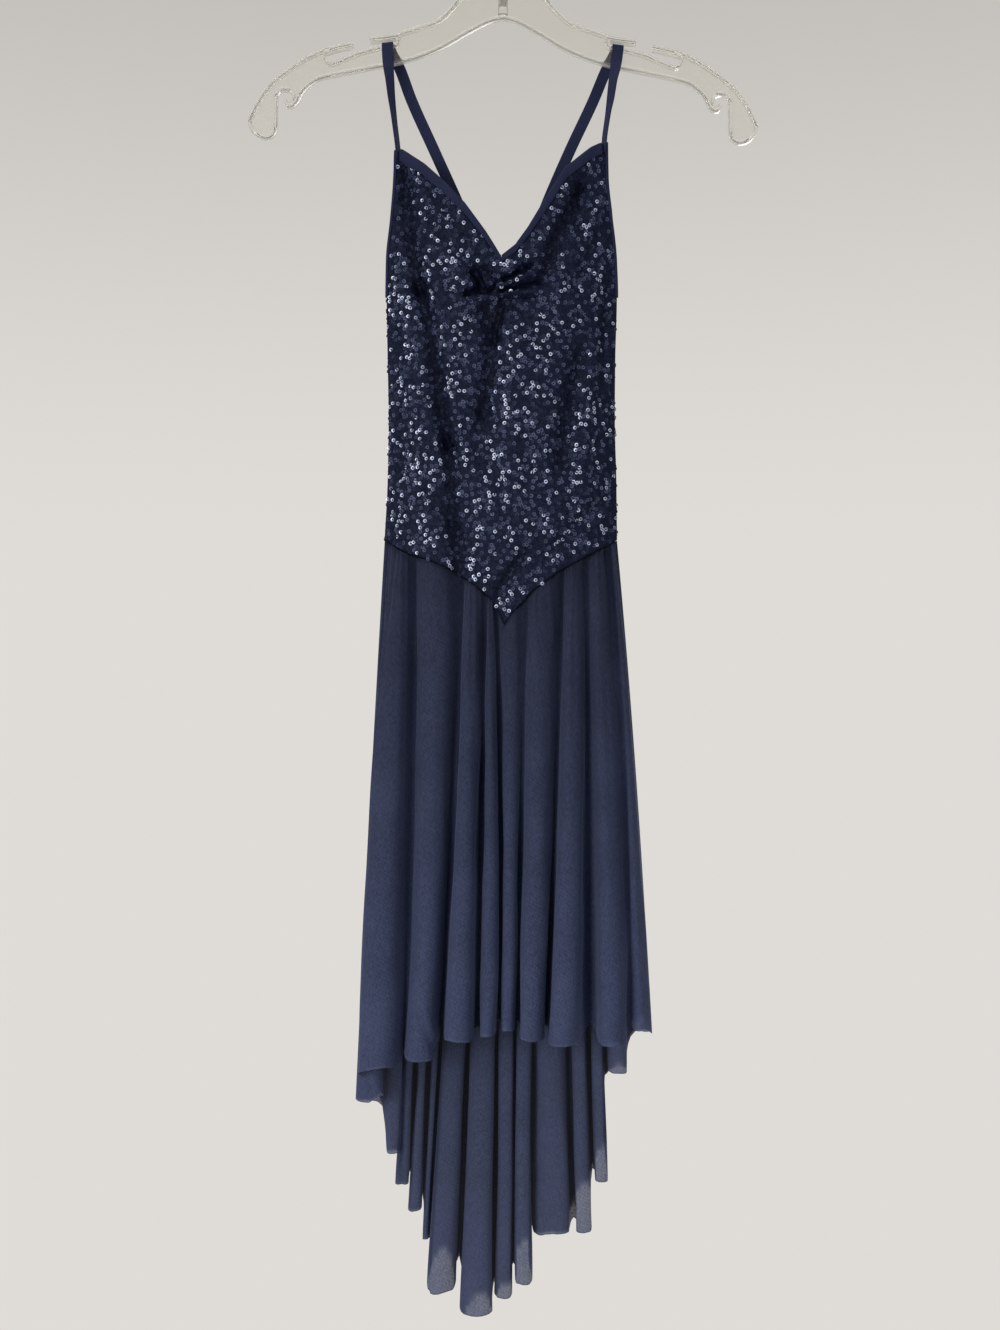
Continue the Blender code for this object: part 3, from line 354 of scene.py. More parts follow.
BACK_FOLDS = [
    ("side seam", -99.4, -112.5, -124.0, -1024.7, 3.0, 90.0, 0.9, 1.2),
    ("side wall", -92.0, -102.5, -114.0, -1030.0, 14.0, 0.0, 0.9, 1.2),
    ("turn", -85.5, -95.0, -102.4, -1036.0, 18.0, 20.0, 0.9, 1.2),
    ("near 1", -80.0, -88.5, -96.1, -1074.6, 14.0, 0.0, 0.9, 2.0),
    ("far 1", -73.0, -80.0, -87.4, -1068.0, 38.0, 0.0, 0.8, 0.45),
    ("near 2", -66.0, -74.5, -89.1, -1104.4, 24.0, 0.0, 0.9, 1.9),
    ("far 2", -59.0, -68.5, -80.7, -1098.0, 42.0, 0.0, 0.8, 0.45),
    ("near 3", -52.0, -63.0, -77.3, -1128.9, 28.0, 0.0, 1.0, 1.9),
    ("far 3", -45.0, -57.0, -70.5, -1120.0, 46.0, 0.0, 0.8, 0.45),
    ("near 4", -38.0, -51.5, -67.4, -1155.1, 36.0, 0.0, 0.9, 1.8),
    ("far 4", -32.0, -47.0, -64.6, -1150.0, 50.0, 0.0, 0.8, 0.45),
    ("near 5", -24.0, -38.0, -55.5, -1197.1, 20.0, 0.0, 1.1, 2.0),
    ("far 5", -15.0, -26.0, -38.2, -1174.0, 46.0, 0.0, 0.8, 0.45),
    ("near 6", -6.0, -14.0, -22.1, -1215.0, 16.0, 0.0, 0.9, 2.0),
    ("far 6", 2.0, -3.0, -7.6, -1194.0, 44.0, 0.0, 0.8, 0.45),
    ("near 7", 8.0, 4.5, 1.2, -1201.3, 20.0, 0.0, 0.9, 1.9),
    ("far 7", 14.0, 11.5, 9.0, -1180.0, 42.0, 0.0, 0.8, 0.45),
    ("near 8", 20.0, 18.5, 17.0, -1188.6, 18.0, 0.0, 1.0, 1.9),
    ("far 8", 27.0, 26.5, 24.4, -1146.0, 42.0, 0.0, 0.8, 0.45),
    ("near 9", 37.0, 39.5, 42.9, -1148.9, 24.0, 0.0, 1.1, 2.0),
    ("far 9", 47.0, 54.0, 61.9, -1140.0, 44.0, 0.0, 0.8, 0.45),
    ("near 10", 54.0, 62.0, 69.6, -1146.2, 26.0, 0.0, 0.9, 1.9),
    ("far 10", 61.0, 69.5, 78.0, -1098.0, 42.0, 0.0, 0.8, 0.45),
    ("near 11", 68.0, 77.0, 85.8, -1101.5, 18.0, 0.0, 0.9, 1.9),
    ("far 11", 75.0, 83.5, 88.2, -1014.0, 34.0, 0.0, 0.8, 0.45),
    ("near 12", 82.0, 90.5, 96.6, -1005.8, 8.0, 0.0, 0.9, 1.8),
    ("far 12", 89.0, 100.5, 109.8, -978.3, 24.0, 0.0, 0.9, 0.45),
    ("side seam", 95.8, 112.6, 124.8, -968.8, 2.0, -90.0, 0.9, 1.2),
]

# Where the cloth hangs single above the hem and lets light through: fold, height
FRONT_SINGLE = [("crest 9", 13.0), ("crest 8", 5.0)]
BACK_SINGLE = [
    ("side wall", 9.0), ("near 1", 4.0), ("near 5", 28.0), ("near 6", 15.0), ("near 7", 11.0),
    ("near 8", 27.0), ("far 9", 12.0), ("near 10", 32.0), ("near 11", 26.0), ("near 12", 8.0),
]

# Small creases of the front skirt: start across, start height, end across, end height,
# half width, depth
SKIRT_CREASES = [
    ("side ridge", -86.0, -562.0, -79.0, -584.0, 2.6, -1.2),
    ("left dart", -80.0, -570.0, -82.0, -640.0, 2.2, 1.0),
    ("left soft", -64.0, -578.0, -62.0, -690.0, 3.0, 0.9),
    ("left gather", -50.0, -582.0, -49.0, -640.0, 1.8, 1.0),
    ("centre left", -24.0, -598.0, -26.0, -680.0, 1.6, 1.2),
    ("centre", 1.0, -632.0, 3.0, -700.0, 1.6, 1.2),
    ("centre ridge", 26.5, -602.0, 27.5, -660.0, 1.7, -1.3),
    ("right ridge", 40.6, -590.0, 41.0, -640.0, 2.0, -1.2),
    ("right gather", 60.0, -577.0, 61.0, -590.0, 1.5, 1.5),
    ("right soft", 74.0, -568.0, 78.0, -660.0, 2.4, 0.9),
    ("right edge", 91.5, -565.0, 97.0, -645.0, 2.0, -1.2),
    ("low left", -60.0, -700.0, -66.0, -860.0, 3.0, 0.8),
    ("low right", 62.0, -720.0, 60.0, -880.0, 3.0, 0.8),
    ("turned corner", -68.5, -944.0, -55.5, -976.0, 2.2, 2.4),
    ("corner flap", -63.0, -946.0, -51.0, -970.0, 3.2, -1.8),
]

# Small creases of the back skirt where it shows under the front hem, in the same columns
BACK_CREASES = [
    ("long fold", 46.0, -1040.0, 27.0, -1104.0, 2.4, 1.1),
    ("low fold", 31.0, -1112.0, 39.0, -1168.0, 2.2, 0.9),
    ("wide fold", 53.0, -1060.0, 56.0, -1150.0, 3.0, -0.9),
    ("left fold", -96.0, -1040.0, -84.0, -1090.0, 2.4, 0.9),
]

# Section of a strap: place across as a share of half its width, height as one of its depth
STRAP_SECTION = [
    (-1, 0), (-0.96, 0.5), (-0.8, 0.52), (-0.4, 0.46), (0, 0.5), (0.4, 0.46), (0.8, 0.52),
    (0.96, 0.5), (1, 0), (0.96, -0.5), (0.8, -0.52), (0, -0.5), (-0.8, -0.52), (-0.96, -0.5),
]

# Strap paths from the front corner over the hanger to the back edge: place across,
# depth, height, turn of the strap's face in degrees
STRAP_LEFT = [
    ("behind corner", -87.2, -8.6, -236.0, 74.0),
    ("front corner", -87.7, -10.0, -228.3, 70.0),
    ("rise", -90.8, -11.2, -203.9, 66.0),
    ("rise", -93.2, -10.6, -185.0, 54.0),
    ("rise", -94.5, -9.8, -170.1, 42.0),
    ("below rim", -95.6, -8.2, -161.0, 26.0),
    ("rim", -96.4, -6.3, -152.0, 6.0),
    ("floor front", -96.9, -5.4, -143.0, 0.0),
    ("over", -97.0, -5.4, -138.4, 0.0),
    ("over", -97.0, -5.1, -137.6, 0.0),
    ("over", -97.0, -4.5, -137.3, 0.0),
    ("top", -96.7, 0.0, -137.3, 0.0),
    ("over", -96.2, 4.5, -137.3, 0.0),
    ("over", -96.0, 5.1, -137.6, 0.0),
    ("over", -95.8, 5.4, -138.4, 0.0),
    ("floor back", -93.8, 5.5, -143.0, 0.0),
    ("back run", -88.2, 6.2, -153.0, 0.0),
    ("back run", -77.4, 8.2, -181.0, 0.0),
    ("back run", -58.4, 9.0, -223.0, 0.0),
    ("back run", -39.4, 9.2, -265.0, 0.0),
    ("crossing", 1.7, 9.6, -361.0, 0.0),
    ("back edge", 25.0, 16.0, -413.3, 0.0),
]
STRAP_RIGHT = [
    ("behind corner", 84.2, -8.6, -230.0, 74.0),
    ("front corner", 84.6, -10.0, -221.2, 70.0),
    ("rise", 87.6, -11.2, -200.0, 66.0),
    ("rise", 89.8, -10.6, -187.2, 54.0),
    ("rise", 92.0, -9.8, -170.1, 42.0),
    ("below rim", 93.6, -8.2, -162.0, 26.0),
    ("rim", 95.0, -6.3, -153.5, 6.0),
    ("floor front", 96.2, -5.4, -144.5, 0.0),
    ("over", 96.6, -5.4, -140.4, 0.0),
    ("over", 96.6, -5.1, -139.6, 0.0),
    ("over", 96.6, -4.5, -139.3, 0.0),
    ("top", 96.3, 0.0, -139.3, 0.0),
    ("over", 95.8, 4.5, -139.3, 0.0),
    ("over", 95.6, 5.1, -139.6, 0.0),
    ("over", 95.4, 5.4, -140.4, 0.0),
    ("floor back", 93.4, 5.5, -145.0, 0.0),
    ("back run", 87.9, 6.2, -155.0, 0.0),
    ("back run", 76.7, 8.2, -181.0, 0.0),
    ("back run", 56.8, 10.0, -223.0, 0.0),
    ("back run", 38.4, 11.0, -265.0, 0.0),
    ("crossing", 1.7, 12.2, -361.0, 0.0),
    ("back edge", -21.5, 16.0, -413.3, 0.0),
]

# Half of the hanger, seen from the front: distance from the centre, height
HANGER_NECK = [
    ("collar", 7.0, -60.0), ("neck", 9.0, -68.0), ("neck", 16.0, -78.0),
    ("neck", 27.0, -90.0), ("shoulder", 36.2, -99.4), ("shoulder", 42.1, -106.9),
    ("shoulder", 53.9, -117.9), ("shoulder", 69.0, -123.8), ("lip root", 86.7, -129.6),
]
HANGER_LIP = [("lip root", 86.0, -131.6), ("lip", 99.0, -133.6), ("lip end", 112.0, -135.0)]
HANGER_OUTER_LIP = [
    ("lip end", 125.5, -139.3), ("lip", 137.0, -141.6), ("lip root", 150.5, -145.4),
]
HANGER_ARM = [
    ("lip root", 146.0, -142.6), ("arm", 154.0, -145.2), ("arm", 166.5, -151.6),
    ("arm", 178.5, -159.4),
    ("arm", 187.0, -165.6), ("arm", 194.5, -172.5), ("arm", 202.6, -183.0),
    ("arm", 209.0, -194.5), ("tip", 212.7, -203.5), ("tip", 212.0, -209.5),
    ("tip", 207.6, -215.0), ("tip", 200.4, -217.6), ("tip", 194.4, -215.6),
    ("leg", 191.4, -209.5), ("leg", 191.0, -196.0), ("leg", 190.8, -184.0),
    ("slot top", 189.0, -179.4), ("slot top", 185.6, -177.0), ("slot top", 181.0, -177.2),
    ("slot top", 177.4, -180.2), ("curl", 175.6, -185.0),
]
HANGER_FLOOR = [
    ("inner end", 89.4, -133.0), ("inner end", 88.6, -136.8), ("inner end", 90.2, -139.7),
    ("strap seat", 97.0, -140.2), ("floor", 103.0, -141.2), ("floor", 122.9, -146.7),
    ("floor", 143.1, -155.4), ("outer end", 149.0, -152.2), ("outer end", 150.6, -146.0),
]
HANGER_LOWER = [
    ("centre", 0.0, -114.9), ("lower", 6.7, -116.0), ("lower", 16.0, -119.6),
    ("lower", 32.8, -128.8), ("lower", 51.4, -139.8), ("lower", 74.9, -149.4),
    ("lower", 101.9, -156.0), ("lower", 144.8, -164.6), ("lower", 158.3, -169.0),
    ("lower", 168.7, -178.0), ("curl", 172.8, -186.0), ("curl", 177.0, -190.6),
    ("curl", 181.4, -190.4), ("curl", 182.9, -186.6),
]

# Rims of one half of the hanger: edge, width, half depth
HANGER_RIMS = [
    ("neck", HANGER_NECK, 2.5, 4.1), ("lip", HANGER_LIP, 3.8, 4.5),
    ("outer", HANGER_OUTER_LIP, 3.8, 4.4), ("arm", HANGER_ARM, 2.5, 4.2),
    ("floor", HANGER_FLOOR, 2.2, 4.3),
]


# Numbers

def column(table, *entries):
    """Columns of a table whose entry 0 is the row's name."""
    return [np.array([row[n] for row in table], float) for n in entries]


def smooth(values, at, points):
    """Monotone cubic curve through a table."""
    x = np.asarray(points, float)
    y = np.asarray(values, float)
    h = np.diff(x)
    d = np.diff(y) / h
    m = np.zeros_like(y)
    m[0], m[-1] = d[0], d[-1]
    for i in range(1, len(y) - 1):
        if d[i - 1] * d[i] > 0:
            w1 = 2 * h[i] + h[i - 1]
            w2 = h[i] + 2 * h[i - 1]
            m[i] = (w1 + w2) / (w1 / d[i - 1] + w2 / d[i])
    a = np.clip(np.asarray(at, float), x[0], x[-1])
    i = np.clip(np.searchsorted(x, a) - 1, 0, len(h) - 1)
    t = (a - x[i]) / h[i]
    return ((1 + 2 * t) * (1 - t) ** 2 * y[i] + t * (1 - t) ** 2 * h[i] * m[i]
            + t * t * (3 - 2 * t) * y[i + 1] + t * t * (t - 1) * h[i] * m[i + 1])


def ripple(x, y, seed):
    """Smooth uneven values from about -1 to 1 over two coordinates, the same every run."""
    size = RIPPLE_CELLS
    table = np.random.RandomState(seed).uniform(-1, 1, (size, size))
    x, y = np.broadcast_arrays(np.asarray(x, float), np.asarray(y, float))
    i, j = np.floor(x).astype(int), np.floor(y).astype(int)
    u, v = x - i, y - j
    u, v = u * u * (3 - 2 * u), v * v * (3 - 2 * v)
    a, b, c, d = (table[(i + right) % size, (j + up) % size]
                  for up in (0, 1) for right in (0, 1))
    return (a * (1 - u) + b * u) * (1 - v) + (c * (1 - u) + d * u) * v


def section_at(z, side):
    """Left edge, right edge, fullness and edge depth of the bodice at a height."""
    heights, left, right, front, back, edge_f, edge_b = column(
        BODICE_SECTIONS, 1, 2, 3, 4, 5, 6, 7)
    full, edge = (front, edge_f) if side < 0 else (back, edge_b)
    rising = heights[::-1]
    return [smooth(v[::-1], z, rising) for v in (left, right, full, edge)]


def crease_depth(x, z, creases):
    """Depth of soft troughs at points given by their place and height."""
    total = np.zeros_like(np.asarray(x, float))
    for _, x0, z0, x1, z1, half, depth in creases:
        along = np.array([x1 - x0, z1 - z0])
        t = np.clip(((x - x0) * along[0] + (z - z0) * along[1]) / (along @ along), -0.3, 1.3)
        bend = half * CREASE_BEND * np.sin(3.1 * t + x0)
        inside = np.clip(t, 0.0, 1.0)
        off = np.hypot(x - x0 - inside * along[0] + bend, z - z0 - inside * along[1])
        total = total + depth * np.exp(-(off / half) ** 2)
    return total


def fold_depth(x, z, side):
    """How far the bodice is folded in, in mm, as its shade shows it."""
    if side > 0:
        depth = crease_depth(x, z, BACK_TROUGHS)
    else:
        depth = (crease_depth(x, z, BODICE_TROUGHS)
                 + GATHER_SHADE * crease_depth(x, z, KNOT_GATHERS))
    return np.clip(depth, 0, DEEPEST_SHADE)


def bodice_point(s, z, side):
    """Middle surface of a bodice panel: s runs from -1 to 1 across, side is -1 in front."""
    left, right, full, edge = section_at(z, side)
    x = (left + right) / 2 + s * (right - left) / 2
    hump = 1 - np.abs(s) ** SECTION_POWER
    deep = TROUGH_BEND * crease_depth(x, z, BODICE_TROUGHS if side < 0 else BACK_TROUGHS)
    if side < 0:
        deep = deep + crease_depth(x, z, KNOT_GATHERS)
    for depth, across, down, seed in BODICE_RIPPLES:
        deep = deep + depth * ripple(x / across, z / down, seed)
    fade = np.clip((1 - np.abs(s)) / 0.1, 0, 1)
    y = edge + side * (full * hump - deep * fade)
    return np.stack([x, y, z + 0 * x], -1)


def bodice_normal(s, z, side):
    """Unit normal of a panel, away from the wearer, taken short of its side edges."""
    s = np.clip(s, -HEADING_REACH, HEADING_REACH)
    e = 0.01
    across = bodice_point(s + e, z, side) - bodice_point(s - e, z, side)
    down = bodice_point(s, z - 1.0, side) - bodice_point(s, z + 1.0, side)
    n = np.cross(across, down)
    n /= np.linalg.norm(n, axis=-1, keepdims=True)
    return n * np.sign(n[..., 1:2]) * side


def edge_height(table, s, side, gap=0.0):
    """Height of an edge given across the panel, at a share s of the width."""
    xs, zs = column(table, 1, 2)
    z = np.full(np.shape(s), zs.mean())
    for _ in range(6):
        left, right, _, _ = section_at(z, side)
        x = (left + right) / 2 + s * (right - left) / 2
        z = np.interp(x, xs, zs)
    return z + gap


def spline(points):
    """Points of a smooth curve through the given ones."""
    p = np.asarray(points, float)
    ends = np.concatenate([[2 * p[0] - p[1]], p, [2 * p[-1] - p[-2]]])
    out = []
    for i in range(1, len(ends) - 2):
        a, b, c, d = ends[i - 1:i + 3]
        for t in np.linspace(0, 1, CURVE_STEPS, endpoint=False):
            out.append(0.5 * (2 * b + (c - a) * t + (2 * a - 5 * b + 4 * c - d) * t * t
                              + (3 * b - a - 3 * c + d) * t ** 3))
    out.append(p[-1])
    return np.array(out)


def turns(sides):
    """Even angles round a circle."""
    return [2 * math.pi * k / sides for k in range(sides)]


# Meshes

def mesh_object(name, points, edges, faces):
    """A new object in the scene from points in millimetres."""
    mesh = bpy.data.meshes.new(name)
    mesh.from_pydata((np.asarray(points, float) * MM).tolist(), edges, faces)
    obj = bpy.data.objects.new(name, mesh)
    bpy.context.scene.collection.objects.link(obj)
    return obj


def mark_points(mesh, label, values, kind="FLOAT"):
    """Keeps a value on each point of a mesh, for its material or its node tree."""
    mark = mesh.attributes.new(label, kind, "POINT")
    mark.data.foreach_set("value", values)


def add_object(name, points, faces, mat, uvs=None):
    """A smooth object with a material, its faces turned outwards."""
    obj = mesh_object(name, points, [], faces)
    mesh = obj.data
    mesh.materials.append(mat)
    if uvs is not None:
        layer = mesh.uv_layers.new(name="UVMap")
        index = np.empty(len(mesh.loops), int)
        mesh.loops.foreach_get("vertex_index", index)
        layer.data.foreach_set("uv", np.asarray(uvs, float)[index].ravel())
    bm = bmesh.new()
    bm.from_mesh(mesh)
    bmesh.ops.recalc_face_normals(bm, faces=bm.faces)
    if bm.calc_volume(signed=True) < 0:
        bmesh.ops.reverse_faces(bm, faces=bm.faces)
    bm.to_mesh(mesh)
    bm.free()
    mesh.shade_smooth()
    return obj


def grid_faces(rows, cols, base=0, flip=False):
    """Quads of a grid of points."""
    r, c = np.meshgrid(np.arange(rows - 1), np.arange(cols - 1), indexing="ij")
    a = (base + r * cols + c).ravel()
    quads = np.stack([a, a + 1, a + cols + 1, a + cols], -1)
    return (quads[:, ::-1] if flip else quads).tolist()


def shell(name, mid, n, thickness, mat, uvs):
    """A closed thin shell around a grid of points."""
    rows, cols = mid.shape[:2]
    outer, inner = mid + n * thickness / 2, mid - n * thickness / 2
    base = rows * cols
    faces = grid_faces(rows, cols) + grid_faces(rows, cols, base, True)
    border = [r * cols for r in range(rows)] + [(rows - 1) * cols + c for c in range(1, cols)]
    border += [r * cols + cols - 1 for r in range(rows - 2, -1, -1)]
    border += list(range(cols - 2, 0, -1))
    for a, b in zip(border, border[1:] + border[:1]):
        faces.append((a, b, b + base, a + base))
    points = np.concatenate([outer.reshape(-1, 3), inner.reshape(-1, 3)])
    flat = np.asarray(uvs, float).reshape(-1, 2)
    return add_object(name, points, faces, mat, np.concatenate([flat, flat]))


def ring_faces(count, around, capped=False):
    """Quads between rings of equal point counts, with a face at both ends where capped."""
    faces = [(i * around + j, i * around + (j + 1) % around,
              (i + 1) * around + (j + 1) % around, (i + 1) * around + j)
             for i in range(count - 1) for j in range(around)]
    if capped:
        faces += [tuple(range(around)), tuple(range((count - 1) * around, count * around))]
    return faces


def tube(name, loops, mat):
    """A closed body through loops of equal point counts, capped at both ends."""
    loops = np.asarray(loops, float)
    count, around = loops.shape[:2]
    along = np.cumsum(np.linalg.norm(np.diff(loops.mean(1), axis=0), axis=1))
    across = np.cumsum(np.linalg.norm(np.diff(loops[count // 2], axis=0), axis=1))
    uvs = np.stack(np.broadcast_arrays(np.append(0, across)[None, :],
                                       np.append(0, along)[:, None]), -1)
    return add_object(name, loops.reshape(-1, 3), ring_faces(count, around, True), mat,
                      uvs.reshape(-1, 2) * MM)


def prism(name, outline, half_depth, mat):
    """A flat plate from an outline seen from the front."""
    n = len(outline)
    points = [(x, -half_depth, z) for x, z in outline] + [(x, half_depth, z) for x, z in outline]
    faces = [tuple(range(n)), tuple(range(n, 2 * n))]
    faces += [(i, (i + 1) % n, n + (i + 1) % n, n + i) for i in range(n)]
    return add_object(name, points, faces, mat)


def apply_all(obj):
    """Applies an object's modifiers."""
    bpy.context.view_layer.update()
    deps = bpy.context.evaluated_depsgraph_get()
    mesh = bpy.data.meshes.new_from_object(obj.evaluated_get(deps))
    obj.modifiers.clear()
    old = obj.data
    obj.data = mesh
    mesh.name = obj.name
    bpy.data.meshes.remove(old)


def finish_piece(obj, slot_name, *nodes):
    """Rides the frame and stands for its solids; the slot name is not used."""
    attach(obj, "root")
    if nodes:
        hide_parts(*nodes)
    return obj


# Materials

def set_inputs(node, values):
    """Values of a node's unlinked inputs."""
    for key, value in values.items():
        node.inputs[key].default_value = value


def add_node(tree, kind, **settings):
    """A node with its settings; in_NAME or in_NUMBER sets an unlinked input."""
    item = tree.nodes.new(kind)
    for key, value in settings.items():
        if key.startswith("in_"):
            entry = key[3:]
            set_inputs(item, {int(entry) if entry.isdigit() else entry.replace("_", " "): value})
        else:
            setattr(item, key, value)
    return item


def math_node(tree, operation, **values):
    """A node that works out one number."""
    return add_node(tree, "ShaderNodeMath", operation=operation, **values)


def mix_node(tree, **values):
    """A node that mixes two colours, inputs 6 and 7, by input 0."""
    return add_node(tree, "ShaderNodeMix", data_type="RGBA", **values)


def range_node(tree, *ends, **settings):
    """A node that spreads a value's range, given by its ends, over another one."""
    values = {f"in_{place}": value for place, value in enumerate(ends, 1)}
    return add_node(tree, "ShaderNodeMapRange", **values, **settings)


def mark_node(tree, label):
    """A node that reads the value kept on a mesh's points."""
    return add_node(tree, "ShaderNodeAttribute", attribute_name=label)


def wave_node(tree, way, scale, distortion):
    """A node of even bands with a little unevenness."""
    return add_node(tree, "ShaderNodeTexWave", bands_direction=way, in_Scale=scale,
                    in_Distortion=distortion, in_Detail=1.0)


def wire(tree, *pairs):
    """Links nodes, each pair given as node, output, node, input."""
    for giver, output, taker, entry in pairs:
        tree.links.new(giver.outputs[output], taker.inputs[entry])


def open_tree(name, kind, inputs, outputs):
    """A node tree with named sockets, its entry and its exit."""
    tree = bpy.data.node_groups.new(name, kind)
    for label, socket, value in inputs:
        item = tree.interface.new_socket(label, in_out="INPUT", socket_type="NodeSocket" + socket)
        if value is not None:
            item.default_value = value
    for label, socket in outputs:
        tree.interface.new_socket(label, in_out="OUTPUT", socket_type="NodeSocket" + socket)
    return tree, tree.nodes.new("NodeGroupInput"), tree.nodes.new("NodeGroupOutput")


def new_material(name):
    """A new material, its tree and its shader."""
    mat = bpy.data.materials.new(name)
    mat.use_nodes = True
    tree = mat.node_tree
    return mat, tree, tree.nodes["Principled BSDF"]


def cloth_grain():
    """Fine crossing yarns and patchy tone, shared by the cloths."""
    if "cloth_grain" in bpy.data.node_groups:
        return bpy.data.node_groups["cloth_grain"]
    group, source, sink = open_tree(
        "cloth_grain", "ShaderNodeTree",
        (("Yarn", "Float", 900.0), ("Depth", "Float", 0.3), ("Patch", "Float", 40.0)),
        (("Tone", "Float"), ("Normal", "Vector")))
    where = add_node(group, "ShaderNodeTexCoord")
    stretch = add_node(group, "ShaderNodeMapping", in_Scale=(1.0, 1.0, 0.55))
    fine = add_node(group, "ShaderNodeTexNoise", in_Detail=2.0, in_Roughness=0.6)
    cross = add_node(group, "ShaderNodeTexVoronoi", feature="F1")
    patch = add_node(group, "ShaderNodeTexNoise", in_Detail=3.0, in_Roughness=0.55)
    height = math_node(group, "ADD")
    bump = add_node(group, "ShaderNodeBump", in_Distance=0.0004)
    quarter = math_node(group, "MULTIPLY_ADD", in_1=0.25, in_2=0.125)
    tone = math_node(group, "MULTIPLY_ADD", in_1=0.5)
    wire(group,
         (where, "Object", stretch, "Vector"), (stretch, "Vector", fine, "Vector"),
         (where, "Object", cross, "Vector"), (where, "Object", patch, "Vector"),
         (source, "Yarn", fine, "Scale"), (source, "Yarn", cross, "Scale"),
         (source, "Patch", patch, "Scale"),
         (fine, "Fac", height, 0), (cross, "Distance", height, 1),
         (source, "Depth", bump, "Strength"), (height, 0, bump, "Height"),
         (patch, "Fac", quarter, 0), (fine, "Fac", tone, 0), (quarter, 0, tone, 2),
         (tone, 0, sink, "Tone"), (bump, "Normal", sink, "Normal"))
    return group


def cloth_material(name, colour):
    """A matt cloth whose tone follows its yarns, between two shares of its colour."""
    spread, yarn, depth, patch, rough, sheen = CLOTHS[name]
    mat, tree, shader = new_material(name)
    dark, light = [(*[v * share for v in colour], 1) for share in spread]
    grain = add_node(tree, "ShaderNodeGroup", node_tree=cloth_grain(), in_Yarn=yarn,
                     in_Depth=depth, in_Patch=patch)
    ramp = range_node(tree, 0.3, 0.7)
    mix = mix_node(tree, in_6=dark, in_7=light)
    wire(tree, (grain, "Tone", ramp, 0), (ramp, 0, mix, 0), (mix, 2, shader, "Base Color"),
         (grain, "Normal", shader, "Normal"))
    set_inputs(shader, {"Roughness": rough, "Specular IOR Level": 0.10, "Sheen Weight": sheen,
                        "Sheen Tint": SHEEN_TINT, "Sheen Roughness": 0.45})
    return mat, tree, shader, mix, grain


def sheer_material(name, colour, cover, hem_cover):
    """Fine stretch mesh: slanting wales, thinner where it hangs single at the raw hem, with
    painted light there.
    """
    mat, tree, shader, mix, grain = cloth_material(name, colour)
    ramp = mix.inputs[0].links[0].from_node
    uv = add_node(tree, "ShaderNodeUVMap", uv_map="UVMap")
    turn = add_node(tree, "ShaderNodeMapping", in_Rotation=(0.0, 0.0, 0.45))
    wale = wave_node(tree, "X", 128.0, 2.2)
    course = wave_node(tree, "Y", 112.0, 1.8)
    weave = math_node(tree, "MULTIPLY")
    bump = add_node(tree, "ShaderNodeBump", in_Strength=0.20, in_Distance=0.0006)
    lift = math_node(tree, "MULTIPLY_ADD", in_1=0.30, in_2=-0.08)
    tone = math_node(tree, "ADD", use_clamp=True)
    wire(tree,
         (uv, "UV", turn, "Vector"), (turn, "Vector", wale, "Vector"),
         (turn, "Vector", course, "Vector"), (wale, "Fac", weave, 0), (course, "Fac", weave, 1),
         (weave, 0, bump, "Height"), (grain, "Normal", bump, "Normal"),
         (bump, "Normal", shader, "Normal"),
         (weave, 0, lift, 0), (lift, 0, tone, 0), (ramp, 0, tone, 1), (tone, 0, mix, 0))
    # Painted light through the single cloth at the hem, painted shade towards the waist and in
    # the folds
    sheer = mark_node(tree, "sheer")
    gathered = mark_node(tree, "gathered")
    thin = math_node(tree, "MULTIPLY", in_1=0.6)
    painted_light = mix_node(tree, in_7=HEM_LIGHT_THROUGH)
    painted_waist_shade = mix_node(tree, blend_type="MULTIPLY", in_7=WAIST_SHADE_TINT)
    knit = range_node(tree, 0.0, 1.0, hem_cover - 0.16, hem_cover + 0.14)
    alpha = range_node(tree, 0.0, 1.0, cover)
    wire(tree,
         (sheer, "Fac", thin, 0), (thin, 0, painted_light, 0), (mix, 2, painted_light, 6),
         (gathered, "Fac", painted_waist_shade, 0), (painted_light, 2, painted_waist_shade, 6),
         (tone, 0, knit, 0), (knit, 0, alpha, 4), (sheer, "Fac", alpha, 0),
         (alpha, 0, shader, "Alpha"))
    tree.links.new(painted_waist_shade.outputs[2], deepen(tree, shader, *SKIRT_FOLD))
    return mat


def binding_material(name, colour):
    """Matt stretch binding with fine ribs along its length."""
    mat, tree, shader, _, grain = cloth_material(name, colour)
    uv = add_node(tree, "ShaderNodeUVMap", uv_map="UVMap")
    rib = wave_node(tree, "X", 320.0, 0.6)
    bump = add_node(tree, "ShaderNodeBump", in_Strength=0.35, in_Distance=0.0003)
    wire(tree, (uv, "UV", rib, "Vector"), (rib, "Fac", bump, "Height"),
         (grain, "Normal", bump, "Normal"), (bump, "Normal", shader, "Normal"))
    return mat


def fold_shade():
    """Darkens a colour where the cloth is folded in, shared by the dress's cloths."""
    if "fold_shade" in bpy.data.node_groups:
        return bpy.data.node_groups["fold_shade"]
    group, source, sink = open_tree(
        "fold_shade", "ShaderNodeTree",
        (("Colour", "Color", None), ("Tint", "Color", None), ("Reach", "Float", 5.0)),
        (("Colour", "Color"),))
    deep = mark_node(group, "deep")
    share = range_node(group, 0.0, 1.0, 0.0, 1.0)
    shade = mix_node(group, blend_type="MULTIPLY")
    wire(group, (deep, "Fac", share, 0), (source, "Reach", share, 2), (share, 0, shade, 0),
         (source, "Colour", shade, 6), (source, "Tint", shade, 7), (shade, 2, sink, "Colour"))
    return group


def deepen(tree, shader, reach, tint):
    """The colour socket of a fold shade that feeds the shader."""
    shade = add_node(tree, "ShaderNodeGroup", node_tree=fold_shade(), in_Reach=reach,
                     in_Tint=(*tint, 1))
    wire(tree, (shade, "Colour", shader, "Base Color"))
    return shade.inputs["Colour"]


